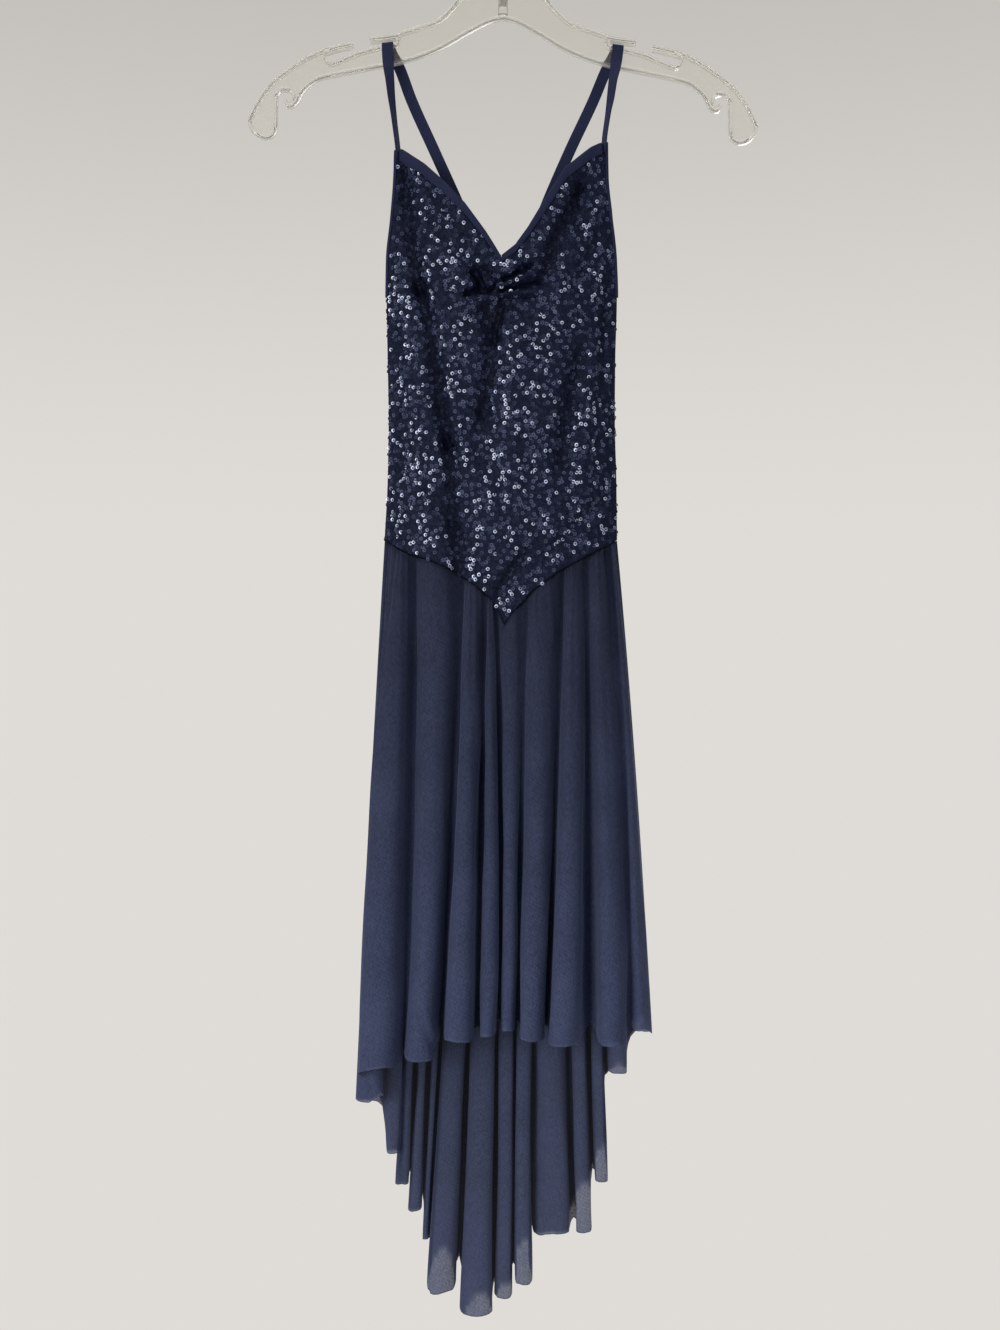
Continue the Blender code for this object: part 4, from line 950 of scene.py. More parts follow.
def sequin_material(name, colour):
    """Small navy rings: most stay dark, some get a painted rim highlight, a few a painted glint.
    """
    mat, tree, shader = new_material(name)
    glint = mark_node(tree, "glint")
    edge = mark_node(tree, "rim")
    face = mark_node(tree, "face")
    # Painted rim highlight, and painted glint on a lit crescent; glinting sequins are also made
    # partly metallic
    some = range_node(tree, *RIM_HIGHLIGHT_SHARES)
    few = range_node(tree, *LIT_SHARES)
    ring = math_node(tree, "MULTIPLY")
    crescent = math_node(tree, "MULTIPLY")
    metal = math_node(tree, "MULTIPLY", in_1=0.35)
    painted_light = mix_node(tree, in_6=(*colour, 1), in_7=RIM_HIGHLIGHT)
    lit = mix_node(tree, in_7=LIT_SEQUIN)
    wire(tree,
         (glint, "Fac", some, 0), (some, 0, ring, 0), (edge, "Fac", ring, 1), (ring, 0, painted_light, 0),
         (glint, "Fac", few, 0), (few, 0, crescent, 0), (face, "Fac", crescent, 1),
         (crescent, 0, lit, 0), (painted_light, 2, lit, 6), (few, 0, metal, 0),
         (metal, 0, shader, "Metallic"))
    tree.links.new(lit.outputs[2], deepen(tree, shader, *BODICE_FOLD))
    set_inputs(shader, {"Specular IOR Level": 0.08, "Roughness": 0.42})
    return mat


def clear_material(name, tint, clearness):
    """Clear moulded plastic, faintly uneven."""
    mat, tree, shader = new_material(name)
    where = add_node(tree, "ShaderNodeTexCoord")
    noise = add_node(tree, "ShaderNodeTexNoise", in_Scale=55.0, in_Detail=2.0)
    bump = add_node(tree, "ShaderNodeBump", in_Strength=0.10, in_Distance=0.001)
    ramp = range_node(tree, 0.0, 1.0, 0.02, 0.08)
    wire(tree, (where, "Object", noise, "Vector"), (noise, "Fac", bump, "Height"),
         (noise, "Fac", ramp, 0), (bump, "Normal", shader, "Normal"),
         (ramp, 0, shader, "Roughness"))
    set_inputs(shader, {"Base Color": (*tint, 1), "Transmission Weight": clearness, "IOR": 1.49})
    return mat


def chrome_material(name):
    """Bright plated wire with faint drawing marks."""
    mat, tree, shader = new_material(name)
    where = add_node(tree, "ShaderNodeTexCoord")
    noise = add_node(tree, "ShaderNodeTexNoise", in_Scale=400.0, in_Detail=3.0)
    ramp = range_node(tree, 0.0, 1.0, 0.10, 0.26)
    wire(tree, (where, "Object", noise, "Vector"), (noise, "Fac", ramp, 0),
         (ramp, 0, shader, "Roughness"))
    set_inputs(shader, {"Base Color": CHROME, "Metallic": 1.0})
    return mat


def bodice_material(name, colour):
    """Dark mesh under the sequins, with painted shade in its folds and by its seams."""
    mat, tree, shader, mix, _ = cloth_material(name, colour)
    tree.links.new(mix.outputs[2], deepen(tree, shader, *BODICE_FOLD))
    return mat


def thread_material(name, colour):
    """Sewing thread, a little paler than the binding."""
    return cloth_material(name, colour)[0]


def material(kind):
    """A material of the dress, made once."""
    if kind in bpy.data.materials:
        return bpy.data.materials[kind]
    look = bpy.context.scene.dress_colours
    make, *values = {
        "skirt_mesh": (sheer_material, look.skirt, look.skirt_cover, look.hem_cover),
        "bodice_mesh": (bodice_material, look.bodice),
        "binding": (binding_material, look.binding),
        "thread": (thread_material, look.binding),
        "sequin": (sequin_material, look.sequin),
        "clear_plastic_look": (clear_material, look.hanger, FACE_CLEARNESS),
        "clear_plastic_edge": (clear_material, look.hanger, EDGE_HIGHLIGHT_CLEARNESS),
        "chrome_look": (chrome_material,),
    }[kind]
    return make(kind, *values)


# Cloth pieces

def bodice_levels(top, s, side, drops):
    """Heights of the top edge and of the line under its binding."""
    z_top = edge_height(top, s, side)
    across, deep = column(drops, 1, 2)
    return z_top, z_top - np.interp(s, across, deep)


def bodice_grid(side, top, bottom, grid):
    """Shares, heights, points and normals of a bodice panel, closer at its sides and top."""
    cols, rows = grid
    s = np.linspace(-1, 1, cols)
    s = s * (1 - COLUMN_CROWD + COLUMN_CROWD * s * s)
    z_top = edge_height(top, s, side)
    z_end = edge_height(bottom, s, side, SEAM_GAP)
    f = np.linspace(0.0, 1.0, rows)[:, None] ** ROW_CROWD
    z = z_top + (z_end - z_top) * f
    s = np.broadcast_to(s, z.shape)
    return s, z, bodice_point(s, z, side), bodice_normal(s, z, side)


def bodice_panel(name, side, top, bottom, drops, grid, thickness, mat):
    """A thin bodice panel from its top edge to the waist seam, with painted shade by seams and
    folds.
    """
    s, z, mid, n = bodice_grid(side, top, bottom, grid)
    obj = shell(name, mid, n, thickness, mat, mid[..., [0, 2]] * MM)
    values = fold_depth(mid[..., 0], z, side)
    for line in (bodice_levels(top, s[0], side, drops)[1], z[-1]):
        values = np.maximum(values, SEAM_SHADE * np.exp(-((z - line) / SEAM_SHADOW) ** 2))
    mark_points(obj.data, "deep", np.tile(values.ravel(), 2))
    return obj


def edge_binding(name, side, edge, drops, s, thickness, mat):
    """Binding folded over a panel's upper edge, with softly rounded folds."""
    z_edge, z_low = bodice_levels(edge, s, side, drops)
    step = 0.01
    rise = (edge_height(edge, s + step, side) - edge_height(edge, s - step, side)) / (
        bodice_point(s + step, z_edge, side)[:, 0] - bodice_point(s - step, z_edge, side)[:, 0])
    steep = np.sqrt(1 + np.clip(rise, -STEEPEST_EDGE, STEEPEST_EDGE) ** 2)
    near, far = BINDING_INSIDE, BINDING_INSIDE + thickness
    outside = [(1.0, far - 0.2), (0.93, far), (0.62, far + 0.1), (0.3, far + 0.12), (0.0, far)]
    fold = [(0.8, 0.9 * far), (1.15, 0.55 * far), (1.3, 0.0), (1.15, -0.55 * far),
            (0.8, -0.9 * far)]
    behind = [(0.0, -far), (0.3, -far - 0.1), (0.62, -far - 0.1), (0.93, -far),
              (1.0, -far + 0.2), (1.0, -near), (0.5, -near), (0.0, -near)]
    heights, offs = [], []
    for rows, reach in ((outside, z_low - z_edge), (fold, steep), (behind, z_low - z_edge),
                        ([(SEAM_GAP, 0.0)], steep),
                        ([(0.0, near), (0.5, near), (1.0, near)], z_low - z_edge)):
        for share, off in rows:
            heights.append(z_edge + reach * share)
            offs.append(off)
    z = np.array(heights).T
    off = np.array(offs)[None, :, None]
    grid_s = np.broadcast_to(s[:, None], z.shape)
    on_panel = np.minimum(z, z_edge[:, None])
    n = bodice_normal(grid_s, on_panel, side)
    wave = BINDING_WAVE * ripple(grid_s * 46, z / 7.0, 12)[..., None]
    return tube(name, bodice_point(grid_s, z, side) + n * (off + wave * np.sign(off)), mat)


def armhole_binding(name, hand, z_from, thickness, mat):
    """Binding folded over the front panel's free side edge."""
    near, far = BINDING_INSIDE, BINDING_INSIDE + thickness
    loops = []
    for z in np.linspace(z_from, UNDERARM_Z + ARMHOLE_END, ARMHOLE_ROWS):
        height = np.array(z)
        left, right, _, _ = section_at(height, -1)
        half = float(right - left) / 2
        edge = bodice_point(np.array(float(hand)), height, -1)
        inner = bodice_point(np.array(hand * (1 - ARMHOLE_REACH / half)), height, -1)
        n = bodice_normal(np.array(float(hand)), height, -1)
        out = edge - inner
        out[2] = 0.0
        out /= np.linalg.norm(out)
        mid = (edge + inner) / 2
        loop = [inner + n * (far - 0.15), inner * 0.9 + edge * 0.1 + n * far,
                mid + n * (far + 0.1), edge + n * far, edge + out * 0.8 + n * far * 0.8,
                edge + out * 1.3, edge + out * 0.8 - n * far * 0.8, edge - n * far,
                mid - n * (far + 0.1), inner * 0.9 + edge * 0.1 - n * far,
                inner - n * (far - 0.15), inner - n * near, edge - n * near,
                edge + out * SEAM_GAP, edge + n * near, inner + n * near]
        loops.append(loop)
    return tube(name, loops, mat)


def fold_lines(folds, seam, side, v, thickness):
    """Place across, depth and heading of each fold down the skirt, and 1 for each valley."""
    seam_x, half_x, hem_x, hem_y, hem_turn, late = column(folds, 1, 2, 3, 5, 6, 7)
    heights = np.interp(seam_x, *column(seam, 1, 2)) - SEAM_GAP
    left, right, _, _ = section_at(heights, side)
    s = (seam_x - (left + right) / 2) / ((right - left) / 2)
    start, lead, trail = (bodice_point(np.clip(s + step, -1, 1), heights, side)
                          for step in (0.0, 0.02, -0.02))
    seam_turn = np.arctan2(lead[:, 1] - trail[:, 1], lead[:, 0] - trail[:, 0])
    valley = np.zeros(len(folds))
    for i in range(1, len(folds) - 1):
        deeper = hem_y[i] > max(hem_y[i - 1], hem_y[i + 1])
        valley[i] = float(deeper and abs(hem_turn[i]) < VALLEY_HEADING)
    grow = START_OPEN + (1 - START_OPEN) * v ** late + 0.05 * (1 - np.exp(-v / 0.03)) * (1 - v)
    ease = v * v * (3 - 2 * v)
    x = seam_x + (hem_x - seam_x) * v + (half_x - (seam_x + hem_x) / 2) * 4 * v * (1 - v)
    if side < 0:
        sway = np.zeros(len(folds))
        sway[1:-1] = FOLD_LEAN * (seam_x[1:-1] - seam_x[:-2])
        x = x - sway * (valley[np.arange(len(folds)) - 1] > 0) * (1 - LEAN_LOSS * ease)
    y = start[:, 1] + (hem_y - start[:, 1]) * grow
    y = y + WAIST_VALLEY * valley * np.exp(-v / VALLEY_FADE)
    turn = seam_turn + (np.radians(hem_turn) - seam_turn) * ease
    for end in (0, -1):
        room = SEAM_GAP / 2 + thickness / 2 * np.abs(np.cos(turn[:, end]))
        y[:, end] = ease[:, 0] * hem_y[end] + side * room
    return x, y, turn, valley


def skirt_grid(folds, seam, side, shares, steps, thickness):
    """Middle points, heights, normals, run of the cloth, shares and valleys of a panel."""
    hem_z, wide = column(folds, 4, 8)
    v = np.asarray(shares, float)[:, None]
    x, y, turn, valley = fold_lines(folds, seam, side, v, thickness)
    open_up = np.clip(v / 0.12, 0, 1)[:, :, None]
    t = np.linspace(0, 1, steps, endpoint=False)
    last = len(folds) - 2
    mids, tangents, hems = [], [], []
    for i in range(last + 1):
        k = np.append(t, 1.0) if i == last else t
        p0, p1 = (np.stack([x[:, j], y[:, j]], -1)[:, None] for j in (i, i + 1))
        gap = np.linalg.norm(p1 - p0, axis=-1, keepdims=True)
        t0, t1 = (gap * (1.0 + (wide[j] - 1.0) * open_up)
                  * np.stack([np.cos(turn[:, j]), np.sin(turn[:, j])], -1)[:, None]
                  for j in (i, i + 1))
        q = k[None, :, None]
        mids.append((1 + 2 * q) * (1 - q) ** 2 * p0 + q * (1 - q) ** 2 * t0
                    + q * q * (3 - 2 * q) * p1 + q * q * (q - 1) * t1)
        tangents.append((6 * q * q - 6 * q) * p0 + (3 * q * q - 4 * q + 1) * t0
                        + (6 * q - 6 * q * q) * p1 + (3 * q * q - 2 * q) * t1)
        bend = k ** 3 if valley[i + 1] else 1 - (1 - k) ** 3 if valley[i] else k
        hems.append(hem_z[i] + (hem_z[i + 1] - hem_z[i]) * bend)
    flat = np.concatenate(mids, 1)
    tangent = np.concatenate(tangents, 1)
    tangent /= np.linalg.norm(tangent, axis=-1, keepdims=True)
    n = np.stack([tangent[..., 1], -tangent[..., 0], np.zeros(tangent.shape[:2])], -1)
    top = np.interp(flat[0, :, 0], *column(seam, 1, 2)) - SEAM_GAP
    z = top + (np.concatenate(hems) - top) * v
    arc = np.linalg.norm(np.diff(flat, axis=1), axis=-1)
    arc = np.concatenate([np.zeros((len(arc), 1)), np.cumsum(arc, 1)], 1)
    return flat, z, n, arc, v, valley


def gap_depth(flat, v, valley, side, steps, seed):
    """Depth of the gaps between the skirt's folds, soft on one side and sharp on the other."""
    slope = GAP_SLOPE if side < 0 else BACK_SLOPE
    total = np.zeros(flat.shape[:2])
    before = 0
    for i in np.flatnonzero(valley):
        here, last = (flat[:, j * steps, 0][:, None] for j in (i, before))
        off = flat[..., 0] - here
        off = np.where(off < 0, off / (slope * (here - last)), off / GAP_STEP)
        deep = GAP_DEPTH - GAP_LOSS * v + GAP_UNEVEN * ripple(i * 1.7, v * 7.0, seed + 9)
        total = np.maximum(total, deep * np.exp(-off ** 2))
        before = i
    return total * np.clip(v / 0.012, 0, 1)


def single_cloth(folds, side, run, below, steps, seed):
    """How far the cloth hangs single, from 0 to 1, by its distance above the hem."""
    single = 2.5 + 1.5 * ripple(run / 9.0, 4.5, seed + 7)
    names = [row[0] for row in folds]
    for label, tall in FRONT_SINGLE if side < 0 else BACK_SINGLE:
        off = run - run[names.index(label) * steps] - 2.0
        single = np.maximum(single, tall * (1 - (off / (9.0 + 0.35 * tall)) ** 2))
    patch = np.clip((single - below) / 3.0, 0, 1) * np.clip(below / 0.8, 0.25, 1)
    return patch * patch * (3 - 2 * patch)


def skirt_panel(name, folds, seam, side, rows, thickness, seed, mat):
    """A skirt panel whose gathers at the seam open into flutes at the hem."""
    steps = FOLD_STEPS[0 if side < 0 else 1]
    shares = np.append(np.linspace(0, EVEN_ROWS_END, rows), HEM_ROWS)
    flat, z, n, arc, v, valley = skirt_grid(folds, seam, side, shares, steps, thickness)
    run = arc[-1]
    below = (1 - v) * SKIRT_LENGTH
    fade = np.clip(np.minimum(run, run[-1] - run) / SIDE_FADE, 0, 1)
    gaps = gap_depth(flat, v, valley, side, steps, seed)
    creases = SKIRT_CREASES if side < 0 else BACK_CREASES
    dent = GAP_DENT * gaps + crease_depth(flat[..., 0], z, creases)
    gathers = (GATHER_DEPTH * np.exp(-v / GATHER_FADE)
               * np.sin(run / GATHER_RUN + 2.2 * ripple(run / 26.0, 0.5, seed)))
    gathers = gathers * (0.55 + 0.45 * ripple(run / 21.0, 3.5, seed + 1))
    soft = 0.0
    for depth, size, waves, draw, full, least in SKIRT_WAVES:
        wave = ripple(run / size, v * waves, seed + draw)
        soft = soft + depth * wave * np.clip(v / full, least, 1)
    curl = CURL * np.exp(-below / CURL_HEIGHT) * ripple(run / 10.0, 7.5, seed + 4)
    push = (gathers + soft + curl - dent) * fade
    for depth, size, row, draw, power in HEM_WAVES:
        z = z + depth * ripple(run / size, row, seed + draw) * fade * v ** power
    mid = np.stack([flat[..., 0], flat[..., 1], z], -1) + n * push[..., None]
    uvs = np.stack(np.broadcast_arrays(run * MM, z * MM), -1)
    obj = shell(name, mid, n, thickness, mat, uvs)
    sheer = np.clip(0.22 * v ** 2 + single_cloth(folds, side, run, below, steps, seed), 0, 1)
    # Painted shade: in the gaps between the folds, right under the waist seam, and by the share
    # towards the waist
    shade = gaps if side < 0 else BACK_GAP_SHADE * gaps
    deep = np.clip(shade + SEAM_DARKNESS * np.exp(-v / 0.006), 0, 4)
    for label, values in (("sheer", sheer), ("gathered", np.broadcast_to(1 - v, arc.shape)),
                          ("deep", deep)):
        mark_points(obj.data, label, np.tile(values.ravel(), 2))
    return obj


def strap(name, path, hand, width, thickness, mat):
    """A flat strap through its stations, with softened edges."""
    x, y, z, turn = column(path, 1, 2, 3, 4)
    centre = np.stack([x, y, z], -1)
    run = np.concatenate([[0], np.cumsum(np.linalg.norm(np.diff(centre, axis=0), axis=1))])
    at = [run[0]]
    for a, b in zip(run, run[1:]):
        at += list(np.linspace(a, b, max(2, int((b - a) / STRAP_STEP)) + 1)[1:])
    at = np.array(at)
    line = np.stack([smooth(v, at, run) for v in (x, y, z)], -1)
    face = np.radians(smooth(turn, at, run)) * -hand
    ahead = np.gradient(line, axis=0)
    ahead /= np.linalg.norm(ahead, axis=1, keepdims=True)
    bank = math.radians(STRAP_BANK) * hand
    over = np.clip((line[:, 2] - STRAP_REST_Z) / 7.0, 0, 1)[:, None]
    across = np.stack([np.cos(face), np.sin(face), 0 * face], -1) * (1 - over)
    across += np.array([math.cos(bank), 0.0, -math.sin(bank)]) * over
    across -= ahead * np.sum(across * ahead, 1, keepdims=True)
    across /= np.linalg.norm(across, axis=1, keepdims=True)
    n = np.cross(ahead, across)
    loops = []
    for i, p in enumerate(line):
        wave = STRAP_WAVE * math.sin(at[i] / 9.0) * (1 - float(over[i, 0]))
        loops.append([p + across[i] * a * width / 2 + n[i] * (b * thickness + wave)
                      for a, b in STRAP_SECTION])
    return tube(name, loops, mat)


# Sewn detail by geometry nodes

def sequin_shape(radius):
    """One cupped ring disc, facing +Z, with marks for its painted rim highlight and painted lit
    side.
    """
    around = turns(SEQUIN_SIDES)
    points = [(radius * share * math.cos(a), radius * share * math.sin(a), height)
              for share, height, _ in SEQUIN_RINGS for a in around]
    obj = mesh_object("sequin_shape", points, [], ring_faces(len(SEQUIN_RINGS), SEQUIN_SIDES))
    obj.data.shade_smooth()
    lit_side = 0.5 - 0.5 * np.cos(around)
    mark_points(obj.data, "rim", np.repeat([row[2] for row in SEQUIN_RINGS], SEQUIN_SIDES))
    mark_points(obj.data, "face", np.tile(0.25 + 0.75 * lit_side, len(SEQUIN_RINGS)))
    return obj


def stitch_shape():
    """One short stitch along +X."""
    half = STITCH_WIDTH / 2
    points = [(along * STITCH_LENGTH, full * half * math.cos(a), full * half * math.sin(a))
              for along, full in STITCH_RINGS for a in turns(STITCH_SIDES)]
    faces = ring_faces(len(STITCH_RINGS), STITCH_SIDES, True)
    obj = mesh_object("stitch_shape", points, [], faces)
    obj.data.shade_smooth()
    return obj


def place_shape(tree, source, points, turn):
    """Puts the tree's shape on points; points and turn are each a node and its output."""
    shape = add_node(tree, "GeometryNodeObjectInfo")
    place = add_node(tree, "GeometryNodeInstanceOnPoints")
    wire(tree, (source, "Shape", shape, "Object"), (*points, place, "Points"),
         (shape, "Geometry", place, "Instance"), (*turn, place, "Rotation"))
    return place


def close_tree(tree, source, last, sink):
    """Ends a tree with real geometry in the material that it is given."""
    real = add_node(tree, "GeometryNodeRealizeInstances")
    paint = add_node(tree, "GeometryNodeSetMaterial")
    wire(tree, (last, 0, real, 0), (real, 0, paint, "Geometry"),
         (source, "Material", paint, "Material"), (paint, 0, sink, 0))


def sequin_tree():
    """Scatters one shape over the faces marked sewn, tilted unevenly, each with a painted glint
    share.
    """
    if "sew_sequins" in bpy.data.node_groups:
        return bpy.data.node_groups["sew_sequins"]
    tree, source, sink = open_tree(
        "sew_sequins", "GeometryNodeTree",
        (("Geometry", "Geometry", None), ("Shape", "Object", None), ("Spacing", "Float", None),
         ("Tilt", "Float", None), ("Seed", "Int", None), ("Material", "Material", None)),
        (("Geometry", "Geometry"),))
    sewn = add_node(tree, "GeometryNodeInputNamedAttribute", data_type="BOOLEAN", in_Name="sewn")
    scatter = add_node(tree, "GeometryNodeDistributePointsOnFaces", distribute_method="POISSON",
                       in_Density_Max=SEQUIN_DENSITY)
    low = add_node(tree, "ShaderNodeVectorMath", operation="SCALE", in_0=(-1.0, -1.0, -3.0))
    high = add_node(tree, "ShaderNodeVectorMath", operation="SCALE", in_0=(1.0, 1.0, 3.0))
    tilt = add_node(tree, "FunctionNodeRandomValue", data_type="FLOAT_VECTOR")
    turn = add_node(tree, "FunctionNodeEulerToRotation")
    spin = add_node(tree, "FunctionNodeRotateRotation", rotation_space="LOCAL")
    wire(tree,
         (source, "Geometry", scatter, "Mesh"), (sewn, "Attribute", scatter, "Selection"),
         (source, "Spacing", scatter, "Distance Min"), (source, "Seed", scatter, "Seed"),
         (source, "Tilt", low, "Scale"), (source, "Tilt", high, "Scale"),
         (low, "Vector", tilt, 0), (high, "Vector", tilt, 1), (source, "Seed", tilt, "Seed"),
         (tilt, 0, turn, 0), (scatter, "Rotation", spin, 0), (turn, 0, spin, 1))
    place = place_shape(tree, source, (scatter, "Points"), (spin, 0))
    # Painted glint share: random, in patches, higher where a sequin faces the light, lower in the
    # painted fold shade
    share = add_node(tree, "FunctionNodeRandomValue", data_type="FLOAT")
    where = add_node(tree, "GeometryNodeInputPosition")
    cluster = add_node(tree, "ShaderNodeTexNoise", in_Scale=38.0, in_Detail=2.0)
    gain = math_node(tree, "MULTIPLY_ADD", in_1=0.28, in_2=-0.14)
    facing = add_node(tree, "ShaderNodeVectorMath", operation="DOT_PRODUCT", in_1=TOWARDS_LIGHT)
    lift = math_node(tree, "MULTIPLY_ADD", in_1=0.14, in_2=-0.12)
    deep = add_node(tree, "GeometryNodeInputNamedAttribute", data_type="FLOAT", in_Name="deep")
    shade = math_node(tree, "MULTIPLY_ADD", in_1=-0.045)
    bias = math_node(tree, "ADD")
    total = math_node(tree, "ADD")
    keep = add_node(tree, "GeometryNodeStoreNamedAttribute", data_type="FLOAT",
                    domain="INSTANCE", in_Name="glint")
    wire(tree,
         (source, "Seed", share, "Seed"), (where, 0, cluster, "Vector"),
         (cluster, "Fac", gain, 0), (scatter, "Normal", facing, 0), (facing, "Value", lift, 0),
         (deep, "Attribute", shade, 0), (lift, 0, shade, 2), (gain, 0, bias, 0),
         (shade, 0, bias, 1), (share, 1, total, 0), (bias, 0, total, 1),
         (place, "Instances", keep, "Geometry"), (total, 0, keep, "Value"))
    close_tree(tree, source, keep, sink)
    return tree


def stitch_tree():
    """Lays stitches at even steps along a line of vertices."""
    if "lay_stitches" in bpy.data.node_groups:
        return bpy.data.node_groups["lay_stitches"]
    tree, source, sink = open_tree(
        "lay_stitches", "GeometryNodeTree",
        (("Geometry", "Geometry", None), ("Shape", "Object", None), ("Step", "Float", None),
         ("Material", "Material", None)),
        (("Geometry", "Geometry"),))
    line = add_node(tree, "GeometryNodeMeshToCurve")
    dots = add_node(tree, "GeometryNodeCurveToPoints", mode="LENGTH")
    aim = add_node(tree, "FunctionNodeAlignRotationToVector", axis="X")
    wire(tree, (source, "Geometry", line, "Mesh"), (line, "Curve", dots, "Curve"),
         (source, "Step", dots, "Length"), (dots, "Tangent", aim, "Vector"))
    close_tree(tree, source, place_shape(tree, source, (dots, "Points"), (aim, 0)), sink)
    return tree


def run_tree(base, tree, shape, values):
    """Runs a base object through a tree that repeats a shape, with inputs given by name."""
    mod = base.modifiers.new("sew", "NODES")
    mod.node_group = tree
    values = {"Shape": shape, **values}
    for item in tree.interface.items_tree:
        if item.item_type == "SOCKET" and item.in_out == "INPUT" and item.name in values:
            mod[item.identifier] = values[item.name]
    apply_all(base)
    bpy.data.objects.remove(shape)


def sequin_field(name, side, top, bottom, drops, cloth, seed):
    """Sequins sewn over a panel, clear of its bindings and seams."""
    sizes = bpy.context.scene.dress_sizes
    s, z, mid, n = bodice_grid(side, top, bottom, SEQUIN_GRID)
    _, low = bodice_levels(top, s[0], side, drops)
    end = edge_height(bottom, s[0], side, SEAM_GAP)
    reach = np.where(z > UNDERARM_Z, 0.98, 1.0) if side < 0 else 1.0 + 0 * z
    sewn = (z < low + 0.2) & (z > end + 0.5) & (np.abs(s) < reach)
    skin = (mid + n * (cloth / 2 + SEQUIN_LIFT)).reshape(-1, 3)
    obj = mesh_object(name, skin, [], grid_faces(*z.shape, 0, side > 0))
    mesh = obj.data
    if (mesh.polygons[len(mesh.polygons) // 2].normal.y > 0) != (side > 0):
        mesh.flip_normals()
    mark_points(mesh, "sewn", sewn.ravel(), "BOOLEAN")
    # Painted fold shade for the sequins, which also keeps painted glints out of the folds
    mark_points(mesh, "deep", fold_depth(mid[..., 0], z, side).ravel())
    run_tree(obj, sequin_tree(), sequin_shape(sizes.sequin_radius * 1000.0),
             {"Spacing": sizes.sequin_spacing, "Tilt": sizes.sequin_tilt, "Seed": seed,
              "Material": material("sequin")})
    return obj


def stitch_line(name, points, mat):
    """A row of stitches along points in millimetres."""
    obj = mesh_object(name, points, [(i, i + 1) for i in range(len(points) - 1)], [])
    run_tree(obj, stitch_tree(), stitch_shape(), {"Step": STITCH_STEP * MM, "Material": mat})
    return obj


# Hanger

def lean(x, z):
    """The hanger's arms hang a little lower on the viewer's right."""
    return z + HANGER_LEAN * x


def rim(name, table, hand, width, half_depth, mat):
    """A rim that follows an edge of the hanger."""
    xs, zs = column(table, 1, 2)
    pts = spline(np.stack([xs * hand, zs], -1))
    step = np.gradient(pts, axis=0)
    step /= np.linalg.norm(step, axis=1, keepdims=True)
    side = np.stack([-step[:, 1], step[:, 0]], -1)
    section = []
    for quarter in range(4):
        for part in (0, 45, 90):
            turn = math.radians(quarter * 90 + part)
            corner = math.radians(quarter * 90 + 45)
            section.append((math.copysign(width / 2 - RIM_ROUND, math.cos(corner))
                            + RIM_ROUND * math.cos(turn),
                            math.copysign(half_depth - RIM_ROUND, math.sin(corner))
                            + RIM_ROUND * math.sin(turn)))
    loops = []
    for p, n in zip(pts, side):
        flat = [p + n * off for off, _ in section]
        loops.append([(q[0], y, lean(q[0], q[1])) for q, (_, y) in zip(flat, section)])
    return tube(name, loops, mat)


def unite(target, others, operation="UNION"):
    """Exact Boolean of solids into the first one."""
    for other in others:
        mod = target.modifiers.new("join", "BOOLEAN")
        mod.operation = operation
        mod.solver = "EXACT"
        mod.object = other
        apply_all(target)
        bpy.data.objects.remove(other, do_unlink=True)


def round_bar(name, radius, z_low, z_high, sides, mat):
    """An upright round bar on the centre line."""
    loops = [[(radius * math.cos(a), radius * math.sin(a), z) for a in turns(sides)]
             for z in (z_low, z_high)]
    return tube(name, loops, mat)


def hanger_frame(mat):
    """The clear frame: a thin web with rims on its edges and a socket for the hook."""
    outline = []
    for hand in (-1, 1):
        half = []
        for table in (HANGER_NECK, HANGER_FLOOR[1:], HANGER_ARM[1:], HANGER_LOWER[::-1][:-1]):
            half += spline(np.stack(column(table, 1, 2), -1)).tolist()
        half = half[::-1] if hand > 0 else half
        outline += [(hand * x, lean(hand * x, z)) for x, z in half]
        if hand < 0:
            outline.append((0.0, HANGER_LOWER[0][2]))
    body = prism("hanger_clear", outline, WEB_HALF_DEPTH, mat)
    parts = [rim(f"{row[0]}_{tag}", row[1], hand, *row[2:], mat)
             for hand, tag in ((-1, "l"), (1, "r")) for row in HANGER_RIMS]
    lower = [("", -row[1], row[2]) for row in HANGER_LOWER[:0:-1]] + list(HANGER_LOWER)
    parts.append(rim("lower", lower, 1, *LOWER_RIM, mat))
    parts.append(round_bar("boss", *BOSS, mat))
    unite(body, parts)
    unite(body, [round_bar("bore", *BORE, mat)], "DIFFERENCE")
    body.data.shade_smooth()
    body.data.set_sharp_from_angle(angle=math.radians(SHARP_ANGLE))
    # The edge faces get the milkier plastic: painted highlight along the hanger's edges
    body.data.materials.append(material("clear_plastic_edge"))
    for face in body.data.polygons:
        if abs(face.normal.y) < EDGE_FACING:
            face.material_index = len(body.data.materials) - 1
    return body


def hook(mat):
    """A wire hook whose inner top is the origin."""
    radius = HOOK_INNER + HOOK_WIRE
    path = [(radius * math.cos(a), radius * math.sin(a) - HOOK_INNER)
            for a in (math.radians(HOOK_TIP - k * HOOK_STEP) for k in range(HOOK_STEPS))]
    x, z = path[-1]
    for t in (k / NECK_STEPS for k in range(1, NECK_STEPS + 1)):
        bend = 0.5 - 0.5 * math.cos(math.pi * t)
        path.append((x * (1 - t) ** 1.6, z + (STEM_TOP - z) * (0.35 * t + 0.65 * bend)))
    path += [(0.0, z) for z in STEM]
    path = np.array([(x, 0.0, z) for x, z in path])
    ahead = np.gradient(path, axis=0)
    ahead /= np.linalg.norm(ahead, axis=1, keepdims=True)
    size = np.full(len(path), HOOK_WIRE)
    size[:2] = HOOK_WIRE * 0.55, HOOK_WIRE * 0.9
    loops = []
    for p, d, r in zip(path, ahead, size):
        side = np.cross(d, [0.0, 1.0, 0.0])
        loops.append([p + r * (side * math.cos(a) + np.array([0, 1, 0]) * math.sin(a))
                      for a in np.linspace(0, 2 * math.pi, HOOK_SIDES, endpoint=False)])
    return tube("hook_wire", loops, mat)


# Add-on parts

